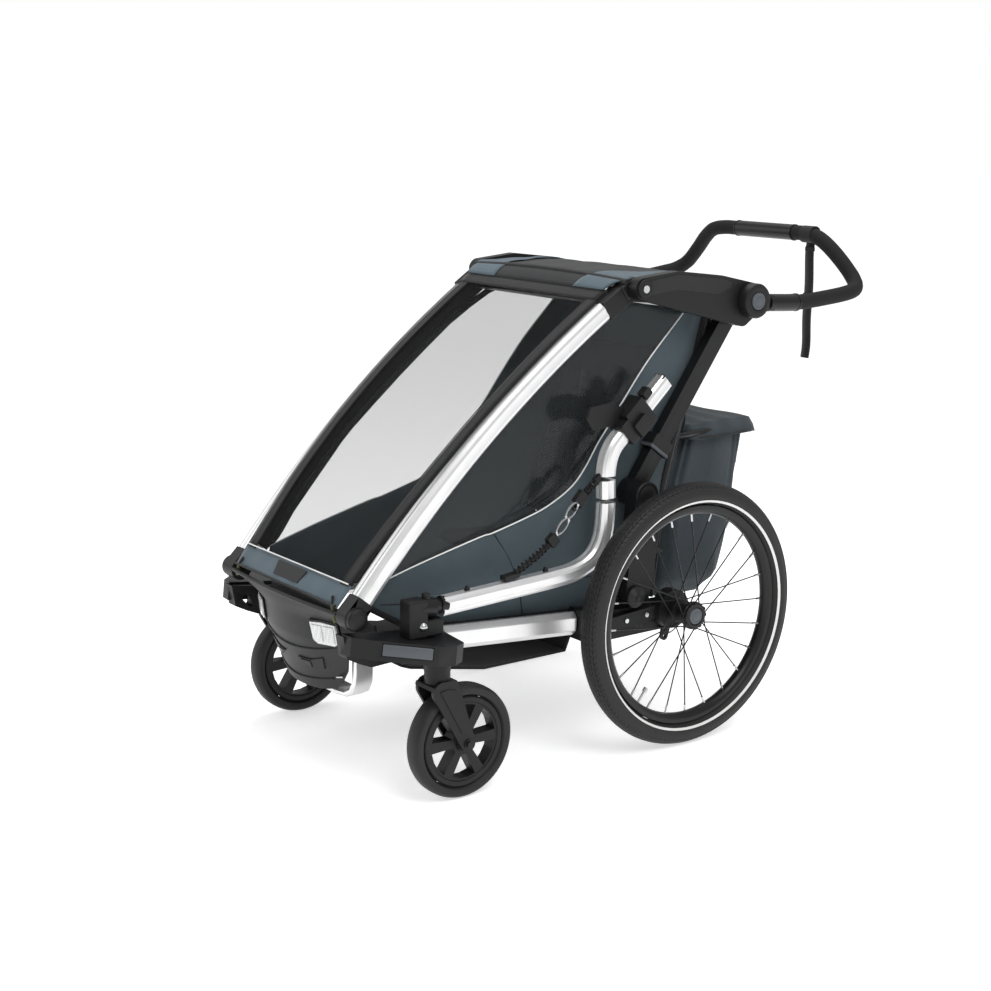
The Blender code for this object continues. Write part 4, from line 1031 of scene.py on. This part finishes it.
def hitch():
    socket = bmesh.new()
    box(socket, at(0.2512, -0.580, 0.3255), (0.0335, 0.038, 0.067))
    box(socket, at(0.2512, -0.546, 0.3070), (0.0300, 0.036, 0.030))
    made = soften(piece("hitch_socket_block", socket, "frame", *NYLON), 0.0045, 3)
    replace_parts(made, "hitch_socket")
    joint = bmesh.new()
    for y_from, y_to, radius in (
        (-0.572, -0.541, 0.0175), (-0.541, -0.530, 0.0125), (-0.530, -0.516, 0.0150)
    ):
        rod(joint, at(0.2512, y_from, 0.3425), at(0.2512, y_to, 0.3395), radius, 32)
    rod(joint, at(0.2512, -0.556, 0.352), at(0.2512, -0.556, 0.3665), 0.0085, 24, 0.0068)
    soften(piece("hitch_joint", joint, "frame", *BLACK_TRIM), 0.0016)
    ball = bmesh.new()
    bmesh.ops.create_uvsphere(
        ball, u_segments=24, v_segments=14, radius=0.0088,
        matrix=Matrix.Translation(at(0.2660, -0.572, 0.3130)),
    )
    rod(ball, at(0.250, -0.572, 0.313), at(0.2672, -0.572, 0.313), 0.0055, 20)
    piece("hitch_ball", ball, "frame", *STEEL)
    refined("hitch_clip", *NYLON, 0.003)
    grip = bmesh.new()
    slant = Matrix.Rotation(radians(42.7), 3, "X")
    box(grip, at(0.250, -0.124, 0.601), (0.0400, 0.024, 0.046), slant)
    box(grip, at(0.272, -0.100, 0.612), (0.0120, 0.034, 0.030), slant)
    box(grip, at(0.262, -0.088, 0.668), (0.0200, 0.020, 0.016), slant)
    soften(piece("hitch_clip_grip", grip, "frame", *NYLON), 0.0030, 3)
    flap = bmesh.new()
    slab(
        flap,
        [
            (-0.202, 0.650), (-0.160, 0.655), (-0.118, 0.640), (-0.140, 0.612), (-0.196, 0.607),
            (-0.210, 0.628),
        ],
        0.2440, 0.2480,
    )
    soften(piece("hitch_clip_flap", flap, "frame", *NYLON), 0.0014)
    knots = [
        (-0.5265, 0.3385),
        (-0.4100, 0.3440),
        (-0.2900, 0.3500),
        (-0.2320, 0.3570),
        (-0.1930, 0.3760),
        (-0.1710, 0.4120),
        (-0.1645, 0.4670),
        (-0.1655, 0.5300),
        (-0.1550, 0.5680),
        (-0.1250, 0.6000),
        (-0.0335, 0.6845),
    ]
    path = smooth_path([at(0.250, y, z) for y, z in knots], 8)
    arm = swept(
        "hitch_arm_drawn",
        path,
        "frame",
        *TUBE,
        section=creased_section(0.030, 0.033),
        smooth_angle=20,
    )
    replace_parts(arm, "hitch_arm")
    details = bmesh.new()
    way = (path[-1] - path[-2]).normalized()
    turn = way.to_track_quat("Z", "Y").to_matrix()
    box(details, path[-1] - way * 0.002, (0.026, 0.029, 0.009), turn)
    soften(piece("hitch_arm_plug", details, "frame", *NYLON), 0.001)
    bolts = bmesh.new()
    for y, z in ((-0.470, 0.3413), (-0.300, 0.3493)):
        spot = at(0.250, y, z + 0.016)
        rod(bolts, spot, spot + Vector((0, 0, 0.0040)), 0.0050, 20)
        rod(bolts, spot, spot + Vector((0, 0, 0.0075)), 0.0034, 20)
    soften(piece("hitch_bolts", bolts, "frame", *BLACK_STEEL), 0.0004)
    lower = smooth_path([at(0.2520, -0.371, 0.372), at(0.2530, -0.322, 0.398), at(0.2530, -0.280, 0.427)], 40)
    upper = smooth_path([at(0.2530, -0.240, 0.468), at(0.2520, -0.217, 0.494), at(0.2510, -0.190, 0.515)], 40)
    for label, run in (("lower", lower), ("upper", upper)):
        core = swept(f"safety_strap_{label}", run[::6] + [run[-1]], "frame", *WEBBING, radius=0.0042)
        if label == "lower":
            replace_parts(core, "safety_strap")
        coil = []
        for i, point in enumerate(run):
            along = (run[min(i + 1, len(run) - 1)] - run[max(i - 1, 0)]).normalized()
            out = along.cross(Vector((1, 0, 0))).normalized()
            angle = i * 0.95
            coil.append(point + 0.0062 * (out * cos(angle) + Vector((1, 0, 0)) * sin(angle)))
        swept(
            f"safety_strap_coil_{label}", coil, "frame", "webbing", "satin_black_alloy", radius=0.0019,
            sides=1,
        )
    hooks = bmesh.new()
    for centre, angle in ((at(0.2570, -0.2685, 0.4440), 40), (at(0.2570, -0.2480, 0.4700), 220)):
        outline = []
        for i in range(25):
            turn = radians(angle) + tau * i / 24
            outline.append(centre + Vector((0.001 * cos(turn), 0.0175 * cos(turn) * cos(STRAP_SLANT), 0.0175 * cos(turn) * sin(STRAP_SLANT)))
                           + Vector((0, -sin(STRAP_SLANT), cos(STRAP_SLANT))) * 0.0078 * sin(turn))
        for a, b in zip(outline, outline[1:]):
            rod(hooks, a, b, 0.0027, 8)
    piece("safety_strap_hooks", hooks, "frame", *STEEL)
    buckle = bmesh.new()
    box(buckle, at(0.2545, -0.227, 0.4900), (0.013, 0.026, 0.021), Matrix.Rotation(STRAP_SLANT, 3, "X"))
    box(buckle, at(0.2545, -0.289, 0.4215), (0.013, 0.019, 0.022), Matrix.Rotation(radians(40), 3, "X"))
    box(buckle, at(0.2520, -0.380, 0.3690), (0.018, 0.032, 0.009), Matrix.Rotation(radians(6), 3, "X"))
    box(buckle, at(0.2500, -0.182, 0.521), (0.012, 0.022, 0.012), Matrix.Rotation(radians(35), 3, "X"))
    soften(piece("safety_strap_buckle", buckle, "frame", *NYLON), 0.0018)


for label, side in SIDES:
    wheel(label, side)
    caster(label, side)
    wing(label, side)
    rear_end(label, side)
bumper()
front_tubes()
roof_frame()
handlebar()
underframe()
hitch()


# ---- Front cover ----
COVER_LIFT = 0.0204
COVER_HALF = [(0.0, 0.176), (0.12, 0.183), (0.25, 0.1935), (0.45, 0.2025), (0.7, 0.2085), (1.0, 0.2130)]
COVER_LOW = -0.050
COVER_REACH = 1.040
APRON_TOP = 0.006


def cover_half(t):
    return reading(COVER_HALF, (t - COVER_LOW) / COVER_REACH)[0]


def cover_point(x, t, lift=0.0):
    y, z = on_bow(t, COVER_LIFT + lift)
    return at(x, y, z)


def front_cover():
    def mesh_place(u, v):
        t = APRON_TOP + (0.985 - APRON_TOP) * v
        half = cover_half(t) - 0.020
        x = (u - 0.5) * 2 * half
        sag = 0.0035 * cos(pi * (u - 0.5)) * sin(pi * v) + 0.0007 * sin(26 * u + 9 * v) * sin(pi * v)
        return cover_point(x, t, -sag)

    field = panel(
        "cover_mesh", 24, 40, mesh_place, (0.40, 0.72), "front_frame", "mesh_fabric",
        "see_through_mesh", 0.0008, ("front_tube_left_drawn", "front_tube_right_drawn")
    )
    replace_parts(field, "front_window")

    for label, side in SIDES:
        def border_place(u, v):
            t = APRON_TOP + (0.988 - APRON_TOP) * v
            half = cover_half(t)
            width = 0.031 - 0.004 * sin(pi * v)
            curl = 0.0030 * max(0.0, u - 0.75) * 4
            return cover_point((half - width * (1 - u)) * side, t, 0.0012 - curl)

        panel(f"cover_border_{label}", 8, 44, border_place, (0.031, 0.71), "front_frame", *BINDING)
        for edge in (0.0285, 0.0035):
            seam = [
                cover_point((cover_half(t) - edge) * side, t, 0.0026) for t in [
                    APRON_TOP + 0.978 * i / 60 for i in range(61)
                ]
            ]
            swept(
                f"cover_stitch_{label}_{round(edge * 10000)}", seam, "front_frame", "mesh_fabric",
                "black_webbing", radius=0.0008, sides=1,
            )

    def top_place(u, v):
        t = 0.950 + 0.040 * v
        return cover_point((u - 0.5) * 2 * (cover_half(t) - 0.001), t, 0.0020 + 0.0015 * sin(pi * v))

    panel("cover_top_border", 30, 5, top_place, (0.44, 0.030), "front_frame", *BINDING)

    def apron_place(u, v):
        t = COVER_LOW + (APRON_TOP + 0.004 - COVER_LOW) * v
        x = (u - 0.5) * 2 * (cover_half(t) + 0.002)
        belly = 0.0050 * cos(pi * (u - 0.5)) * sin(pi * min(1.0, 0.25 + v * 0.75)) + 0.0005 * sin(41 * u)
        return cover_point(x, t, belly)

    panel("apron", 36, 8, apron_place, (0.37, 0.045), "front_frame", *BLUE_CLOTH, 0.0018)
    top = [
        cover_point((i / 20 - 0.5) * 2 * (cover_half(APRON_TOP) - 0.004), APRON_TOP + 0.004, 0.0045) for i in range(21)
    ]
    swept("apron_piping", smooth_path(top, 3), "front_frame", *PIPING, radius=0.0013, sides=2)
    bottom = [
        cover_point((i / 20 - 0.5) * 2 * cover_half(COVER_LOW), COVER_LOW + 0.001, 0.0040) for i in range(21)
    ]
    swept("apron_hem", smooth_path(bottom, 3), "front_frame", *STITCH, radius=0.0022, sides=2)

    patch = bmesh.new()
    corners = [(-0.050, 0.0005), (0.050, 0.0005), (0.042, -0.036), (-0.042, -0.036)]
    face = patch.faces.new([patch.verts.new(cover_point(x, t, 0.0055)) for x, t in corners])
    grown = bmesh.ops.extrude_face_region(patch, geom=[face])["geom"]
    moved = [g for g in grown if isinstance(g, bmesh.types.BMVert)]
    bmesh.ops.translate(patch, vec=(0, -0.0014, 0.0012), verts=moved)
    soften(piece("apron_patch", patch, "front_frame", "body_fabric", "grained_black_nylon", 20), 0.0012)

    for label, side in SIDES:
        x = 0.158 * side
        start = cover_point(x, -0.030, 0.0070)
        line = [
            start, start + Vector((0.006 * side, -0.004, -0.020)),
            start + Vector((0.010 * side, -0.001, -0.045)),
        ]
        if side < 0:
            line = [start, start + Vector((-0.012, -0.003, -0.018)), start + Vector((-0.020, -0.002, -0.036))]
        route = smooth_path(line, 6)
        swept(
            f"pull_loop_{label}", route[4:], "front_frame", "webbing", "olive_webbing", radius=0.0034, sides=2
        )
        swept(f"pull_cord_{label}", route[:6], "front_frame", *WEBBING, radius=0.0026, sides=2)


# ---- Side walls ----
PIPED = [
    (-0.617, 0.369), (-0.518, 0.397), (-0.396, 0.427), (-0.365, 0.432), (-0.275, 0.456),
    (-0.229, 0.475), (-0.192, 0.498),
    (-0.164, 0.529), (-0.136, 0.571), (-0.108, 0.606), (-0.075, 0.649), (-0.019, 0.716),
    (0.062, 0.796), (0.090, 0.820),
]
WALL_EDGE = [
    (-0.628, 0.330), (-0.545, 0.280), (-0.430, 0.267), (-0.360, 0.263), (-0.250, 0.256),
    (-0.160, 0.2525), (-0.070, 0.252),
    (-0.004, 0.254), (0.016, 0.360), (0.032, 0.470), (0.055, 0.550), (0.085, 0.640), (0.125, 0.780),
    (0.132, 0.812),
]
WINDOW_EDGE = [
    (-0.630, 0.358), (-0.575, 0.436), (-0.515, 0.503), (-0.455, 0.570), (-0.390, 0.625),
    (-0.325, 0.678), (-0.265, 0.724),
    (-0.205, 0.768), (-0.155, 0.798), (-0.105, 0.824), (-0.060, 0.838), (0.020, 0.830), (0.075, 0.822),
    (0.094, 0.822),
]

WALL_SEAMS = [
    [(-0.600, 0.335), (-0.47, 0.322), (-0.30, 0.318), (-0.10, 0.322), (0.0, 0.330)],
    [(-0.365, 0.429), (-0.330, 0.375), (-0.310, 0.320), (-0.300, 0.262)],
]


def wall_point(side, y, z, out=0.0):
    forward = max(0.0, (TUBE_HIGH[0] - y) / (TUBE_HIGH[0] - TUBE_LOW[0]))
    return at((WALL_X - TOE_IN * forward + out) * side, y, z)


def over_the_fold(made):
    """Bakes the cloth's place into its mesh."""
    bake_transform(made)
    return made


def side_wall(label, side):
    piped = [Vector((y, z)) for y, z in PIPED]
    outer = [Vector((y, z)) for y, z in WALL_EDGE]
    glazed = [Vector((y, z)) for y, z in WINDOW_EDGE]

    def cloth_place(u, v):
        low, high = curve_at(outer, u), curve_at(piped, u)
        spot = low.lerp(high, v)
        fold = 0.0016 * sin(19 * u + 5 * v) * sin(pi * v) + 0.0010 * sin(43 * u - 11 * v) * sin(pi * v)
        return wall_point(side, spot.x, spot.y, 0.0012 * sin(pi * v) + fold)

    # The wall cloth is drawn darker than the blue-grey cloth, as painted shade.
    cloth = panel(
        f"side_cloth_{label}", 78, 12, cloth_place, (0.99, 0.25), None, "body_fabric",
        "wall_painted_shade_polyester", 0.0014,
        (f"side_rail_{label}_shell",),
    )
    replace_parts(cloth, f"side_wall_{label}")
    over_the_fold(cloth)

    def glass_place(u, v):
        low, high = curve_at(piped, u), curve_at(glazed, u)
        spot = low.lerp(high, v)
        return wall_point(side, spot.x, spot.y, 0.0010 * sin(9 * u) * sin(pi * v))

    # The left window's vinyl is drawn dark and half opaque as painted shade of the cabin behind it; the right one is
    # nearly clear.
    glass = panel(
        f"side_window_{label}", 78, 8, glass_place, (0.98, 0.24), None, "mesh_fabric",
        "shade_painted_vinyl" if side > 0 else "clear_vinyl", 0.0008,
        (f"front_tube_{label}_drawn",),
    )
    over_the_fold(glass)

    def top_binding(u, v):
        low, high = curve_at(piped, u), curve_at(glazed, u)
        spot = high.lerp(low, min(1.0, 0.014 * v / max(0.014, (high - low).length)))
        return wall_point(side, spot.x, spot.y, 0.0016)

    over_the_fold(
        settled(
            panel(
                f"window_binding_{label}", 78, 2, top_binding, (0.98, 0.014), None, *BINDING,
            )
        )
    )
    fine = smooth_path(PIPED[:-1], 5)
    cord_line = [wall_point(side, p.x, p.y, 0.0016) for p in fine]
    over_the_fold(swept(f"window_piping_{label}", cord_line, None, *PIPING, radius=0.0014, sides=2))

    def zip_place(u, v):
        spot = curve_at(outer[7:], u)
        inner = curve_at(piped[7:], u)
        spot = spot.lerp(inner, min(0.9, (0.002 + 0.016 * v) / max(0.02, (inner - spot).length)))
        return wall_point(side, spot.x, spot.y, 0.0026)

    over_the_fold(settled(panel(f"wall_zip_{label}", 40, 3, zip_place, (0.60, 0.016), None, *BINDING)))

    def hem_place(u, v):
        spot = curve_at(outer[:8], u)
        return wall_point(side, spot.x, spot.y + 0.013 * v, 0.0022)

    over_the_fold(
        settled(
            panel(
                f"wall_hem_{label}", 50, 2, hem_place, (0.66, 0.013), None, "body_fabric", "black_polyester"
            )
        )
    )
    for pocket, knots in enumerate(WALL_SEAMS):
        seam = [wall_point(side, y, z, 0.0022) for y, z in knots]
        over_the_fold(
            swept(
                f"wall_seam_{label}_{pocket}",
                smooth_path(seam, 8),
                None,
                *STITCH,
                radius=0.0010,
                sides=1,
            )
        )
    tab = bmesh.new()
    slab(
        tab, [(-0.043, 0.364), (-0.010, 0.343), (0.027, 0.344), (0.020, 0.352), (-0.036, 0.371)],
        0.1925 * side, 0.1965 * side,
    )
    soften(piece(f"wall_tab_{label}", tab, "frame", *GREY_NYLON), 0.0010)


# ---- Roof ----
ROOF_LINE = [
    (0.0, -0.112, 0.8630),
    (0.06, -0.106, 0.8672),
    (0.12, -0.095, 0.8690),
    (0.6, 0.040, 0.8700),
    (0.85, 0.130, 0.8560),
    (1.0, 0.168, 0.8300),
]
ROOF_HALF = 0.232


def roof_point(x, v, lift=0.0):
    y, z = reading(ROOF_LINE, v)
    return at(x, y, z + 0.008 * cos(pi * x / 0.5) + lift)


def drape_point(x, v, lift):
    """On the roof's front flap, which falls to the top of the cover."""
    y, z = on_bow(0.985, COVER_LIFT + 0.004)
    low = at(x * 0.945, y - 0.001, z)
    high = roof_point(x, 0.03, 0.0)
    return low.lerp(high, v) + Vector((0, -0.67, 0.74)) * (lift + 0.0035 * sin(pi * v))


def hang(made):
    """Applies the modifiers of the flap, which lies bent between the cover's top and the roof's front edge, and bakes
    its place into its mesh.
    """
    settle(made)
    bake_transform(made)


def roof():
    def mesh_place(u, v):
        x = (u - 0.5) * 2 * (ROOF_HALF - 0.001)
        sag = 0.0030 * sin(pi * u) * sin(pi * v) + 0.0006 * sin(31 * u + 7 * v)
        return roof_point(x, 0.02 + 0.97 * v, -sag)

    field = panel(
        "roof_mesh", 36, 22, mesh_place, (0.47, 0.31), "roof", "mesh_fabric", "roof_mesh", 0.0016,
        ("roof_bracket_left_shell", "roof_bracket_right_shell")
    )
    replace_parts(field, "roof_fabric")
    for label, side in SIDES:
        def strip_place(u, v):
            width = 0.050 + 0.046 * (1 - eased(v / 0.55)) + 0.004 * sin(9 * v)
            return roof_point(
                (ROOF_HALF - 0.002 - width * u) * side, 0.02 + 0.96 * v, 0.0022 + 0.0006 * sin(21 * v + 4 * u)
            )

        panel(f"roof_strip_{label}", 12, 30, strip_place, (0.096, 0.30), "roof", *BLUE_CLOTH, 0.0014)

        def drape_strip(u, v):
            return drape_point((ROOF_HALF - 0.012 - 0.092 * u) * side, v, 0.0022)

        hang(
            panel(
                f"roof_drape_strip_{label}", 10, 5, drape_strip, (0.092, 0.035), None, *BLUE_CLOTH, 0.0014,
            )
        )

    def drape_place(u, v):
        return drape_point((u - 0.5) * 2 * (ROOF_HALF - 0.014), v, 0.0)

    hang(panel("roof_drape", 30, 5, drape_place, (0.43, 0.035), None, "mesh_fabric", "roof_mesh", 0.0014))
    roll = [roof_point(x, 0.012, 0.0006) for x in [ROOF_HALF * (i / 12 - 1) for i in range(25)]]
    swept("roof_front_roll", roll, "roof", "body_fabric", "black_polyester", radius=0.0052, sides=3)
    roll = [roof_point(x, 0.988, 0.0010) for x in [ROOF_HALF * (i / 12 - 1) for i in range(25)]]
    swept("roof_rear_roll", roll, "roof", "body_fabric", "black_polyester", radius=0.0045, sides=3)


# ---- Back panel and bag ----
BACK_LINE = [
    (0.0, 0.006, 0.256), (0.4, 0.034, 0.470), (0.65, 0.072, 0.600), (0.85, 0.112, 0.705), (1.0, 0.138, 0.792)
]


def back():
    def back_place(u, v):
        y, z = reading(BACK_LINE, v)
        dent = 0.0030 * sin(pi * u) * sin(pi * v) + 0.0008 * sin(23 * u + 12 * v)
        return at((u - 0.5) * 2 * 0.186, y + dent, z)

    cloth = panel(
        "back_cloth", 28, 36, back_place, (0.372, 0.57), "frame", *BLUE_CLOTH,
        0.0014, ("axle_beam_shell",)
    )
    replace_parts(cloth, "back_panel")
    lower_with_fold(cloth)

    def vent_place(u, v):
        y, z = reading(BACK_LINE, 0.62 + 0.32 * v)
        return at((u - 0.5) * 2 * (0.140 - 0.018 * v), y + 0.0048, z)

    vent = settled(
        panel("back_vent", 20, 14, vent_place, (0.28, 0.19), "frame", "mesh_fabric", "roof_mesh", 0.0012)
    )
    lower_with_fold(vent)
    edge = []
    for u, v in [(0, 0), (0.5, 0), (1, 0), (1, 0.5), (1, 1), (0.5, 1), (0, 1), (0, 0.5), (0, 0)]:
        edge.append(vent_place(u, v) + Vector((0, 0.0012, 0)))
    trim = swept("back_vent_binding", edge, "frame", "mesh_fabric", "black_webbing", radius=0.0026, sides=2)
    lower_with_fold(trim)
    for label, side in SIDES:
        run = []
        for i in range(13):
            y, z = reading(BACK_LINE, i / 12)
            run.append(at(0.1855 * side, y + 0.0015, z))
        made = swept(f"back_zip_{label}", run, "frame", *BINDING, radius=0.0040, sides=2)
        lower_with_fold(made)


BAG_HALF = 0.165
BAG_FRONT = [(0.236, 0.047), (0.470, 0.070), (0.553, 0.097)]
BAG_REAR = [(0.236, 0.186), (0.262, 0.218), (0.420, 0.249), (0.553, 0.268)]


def bag():
    steps, rows = 72, 26
    shape = bmesh.new()
    bmesh.ops.create_grid(shape, x_segments=steps, y_segments=rows, size=0.5)
    uv = shape.loops.layers.uv.new("cloth")
    for face in shape.faces:
        for loop in face.loops:
            loop[uv].uv = ((loop.vert.co.x + 0.5) * 0.93, (loop.vert.co.y + 0.5) * 0.33)
    for vertex in shape.verts:
        angle = tau * (vertex.co.x + 0.5)
        rise = vertex.co.y + 0.5
        z = 0.237 + 0.318 * rise
        near, far = reading(BAG_FRONT, z)[0], reading(BAG_REAR, z)[0]
        corner = 0.26
        across = (abs(cos(angle)) ** corner) * (1 if cos(angle) > 0 else -1)
        along = (abs(sin(angle)) ** corner) * (1 if sin(angle) > 0 else -1)
        foot = 1 - 0.10 * (1 - eased(rise / 0.12))
        belly = 0.004 * sin(pi * rise)
        gather = 0.0032 * sin(angle * 19 + 1.3 * sin(angle * 3)) * eased((rise - 0.35) / 0.6)
        gather += 0.0016 * sin(angle * 7 + 9 * rise)
        half = (BAG_HALF - 0.004) * foot + belly + gather
        deep = ((far - near) / 2 - 0.003) * foot + belly * 0.6 + gather
        vertex.co = at(across * half, (near + far) / 2 + along * deep, z)
    bmesh.ops.remove_doubles(shape, verts=shape.verts, dist=0.00005)
    rims = [e for e in shape.edges if e.is_boundary]
    bmesh.ops.holes_fill(shape, edges=rims, sides=0)
    body = piece("bag_body", shape, "frame", *BAG_CLOTH, 0)
    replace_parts(body, "cargo_bag")
    rim = [at(*p) for p in (
        (0.1795, 0.0665, 0.561), (0.1795, 0.090, 0.561), (0.174, 0.120, 0.561), (0.167, 0.180, 0.561),
        (0.160, 0.245, 0.561), (0.146, 0.266, 0.561), (0.110, 0.274, 0.561), (0.0, 0.277, 0.561),
    )]
    rim += [Vector((-p.x, p.y, p.z)) for p in reversed(rim[:-1])]
    made = swept("cargo_frame_bar", smooth_path(rim, 5), "frame", *BLACK_ALLOY, radius=0.0055, sides=3)
    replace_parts(made, "cargo_frame")

    def lid_place(u, v):
        x = (u - 0.5) * 2
        y = (v - 0.5) * 2
        edge = max(abs(x), abs(y))
        drop = 0.024 * eased((edge - 0.90) / 0.10)
        crown = 0.008 * cos(x * pi / 2) * cos(y * pi / 2)
        wave = 0.0016 * sin(11 * u + 5 * v) + 0.0012 * sin(23 * v)
        round_off = 0.010 * (abs(x) ** 8) * (abs(y) ** 8)
        spread = 1 - round_off / 0.17
        return at(x * 0.181 * spread, 0.192 + y * 0.094 * spread, 0.5745 + crown + wave - drop)

    panel(
        "bag_lid", 40, 30, lid_place, (0.40, 0.23), "frame", *BAG_CLOTH, 0.0022,
        ("bag_body",),
    )
    hem = []
    for i in range(61):
        angle = tau * i / 60
        x = (abs(cos(angle)) ** 0.3) * (1 if cos(angle) > 0 else -1)
        y = (abs(sin(angle)) ** 0.3) * (1 if sin(angle) > 0 else -1)
        hem.append(at(x * 0.1815, 0.192 + y * 0.0945, 0.5515 + 0.0010 * sin(7 * angle)))
    swept("bag_lid_piping", hem, "frame", *STITCH, radius=0.0020, sides=2)

    def collar_place(u, v):
        x = (u - 0.5) * 2 * 0.168
        gather = 0.0050 * sin(47 * u + 2 * sin(9 * u)) * (1 - 0.6 * v)
        return at(x, 0.094 + 0.006 * sin(pi * v) + gather * 0.6, 0.560 + 0.058 * v + 0.0025 * sin(13 * u) * v)

    collar = panel("bag_collar", 96, 8, collar_place, (0.34, 0.062), "frame", *BAG_CLOTH, 0.0014)
    settle(collar)
    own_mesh(collar)
    red = bmesh.new()
    tilt = Matrix.Rotation(radians(-8), 3, "X")
    box(red, at(0, reading(BAG_REAR, 0.440)[0] + 0.0065, 0.440), (0.080, 0.006, 0.036), tilt)
    soften(piece("rear_reflector", red, "frame", "button_plastic", "red_reflector"), 0.0022)
    straps = bmesh.new()
    for x in (-0.100, 0.100):
        box(straps, at(x, 0.284, 0.520), (0.022, 0.005, 0.066), tilt)
        box(straps, at(x, 0.2855, 0.486), (0.030, 0.009, 0.024), tilt)
    soften(piece("bag_straps", straps, "frame", *WEBBING), 0.0014)


# ---- Seat and harness ----
SEAT_HINGE = (-0.045, 0.366)
SEAT_TOP = (0.068, 0.735)


def stuffed(name, centre, size, turn, channels, body, most):
    """A sewn pad: blown up as cloth from a slightly smaller block, then its channels drawn in."""
    shape = bmesh.new()
    box(shape, Vector(), (size[0] - 0.006, size[1] - 0.006, size[2] * 0.62))
    bmesh.ops.bevel(
        shape, geom=shape.edges[:], offset=size[2] * 0.22, segments=2, affect="EDGES", profile=0.5,
        material=-1,
    )
    made = piece(name, shape, None, "seat_fabric", "seat_fabric", 0)
    remesh = made.modifiers.new("remesh", "REMESH")
    remesh.mode = "VOXEL"
    remesh.voxel_size = 0.006
    settle(made)
    rest = [v.co.copy() for v in made.data.vertices]
    cloth = made.modifiers.new("cloth", "CLOTH")
    cloth.settings.use_pressure = True
    cloth.settings.uniform_pressure_force = 4
    cloth.settings.effector_weights.gravity = 0
    scene = bpy.context.scene
    for step in range(1, 21):
        scene.frame_set(step)
    settle(made)
    scene.frame_set(1)
    for vertex, before in zip(made.data.vertices, rest):
        move = vertex.co - before
        if move.length > most:
            vertex.co = before + move * (most / move.length)
    for vertex in made.data.vertices:
        x, y, z = vertex.co
        for channel in channels:
            near = abs(y - channel) / 0.010
            if near < 1:
                z *= 1 - 0.30 * (1 - near) ** 2
        limit = size[2] / 2 - 0.0006
        vertex.co = turn @ Vector((
            min(max(x, -size[0] / 2), size[0] / 2), min(max(y, -size[1] / 2), size[1] / 2),
            min(max(z, -limit), limit)
        )) + centre
    smooth = made.modifiers.new("fine", "SUBSURF")
    smooth.levels = 1
    smooth.render_levels = 1
    settle(made)
    made.data.materials.clear()
    made.data.materials.append(LOOKS["seat_fabric"])
    made.data.shade_smooth()
    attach(made, body)
    return made


def seat():
    pad = stuffed(
        "seat_cushion", at(0, -0.165, 0.342), (0.300, 0.215, 0.032),
        Matrix.Rotation(radians(-4), 3, "X"), (-0.045, 0.035), "frame", 0.008
    )
    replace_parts(pad, "seat_pad")
    (y, z), (top_y, top_z) = SEAT_HINGE, SEAT_TOP
    lean = atan2(top_y - y, top_z - z)
    length = hypot(top_y - y, top_z - z)
    turn = Matrix.Rotation(pi / 2 - lean, 3, "X")
    centre = at(0, (y + top_y) / 2, (z + top_z) / 2)
    rest = stuffed(
        "seat_rest", centre, (0.300, length, 0.028), turn, (-0.110, -0.020, 0.070), "seat_back", 0.008
    )
    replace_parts(rest, "seat_back")
    lower_with_fold(rest)

    def strap_point(x, up, out):
        return at(x, y, z) + Vector((0, up * sin(lean) - out * cos(lean), up * cos(lean) + out * sin(lean)))

    for label, side in SIDES:
        knots = [
            strap_point(0.048 * side, 0.302, 0.0165),
            strap_point(0.040 * side, 0.230, 0.0180),
            strap_point(0.030 * side, 0.140, 0.0190),
            strap_point(0.014 * side, 0.070, 0.0195),
        ]
        made = ribbon(
            f"harness_strap_{label}", smooth_path(knots, 6), 0.025, (1, 0, 0), "seat_back", *WEBBING, 0.002,
        )
        if side > 0:
            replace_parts(made, "harness")
        settle(made)
        lower_with_fold(made)
        pads = [
            strap_point(x * side, up, 0.0215) for x, up in ((0.0445, 0.268), (0.038, 0.215), (0.031, 0.150))
        ]
        made = ribbon(
            f"harness_pad_{label}", smooth_path(pads, 5), 0.040, (1, 0, 0), "seat_back", "webbing",
            "seat_fabric", 0.006,
        )
        settle(made)
        lower_with_fold(made)
    buckle = bmesh.new()
    box(buckle, strap_point(0, 0.062, 0.0215), (0.046, 0.012, 0.034), Matrix.Rotation(-lean, 3, "X"))
    soften(piece("harness_buckle", buckle, "seat_back", "webbing", "grained_black_nylon"), 0.004, 3)


for label, side in SIDES:
    side_wall(label, side)
front_cover()
roof()
back()
bag()
seat()
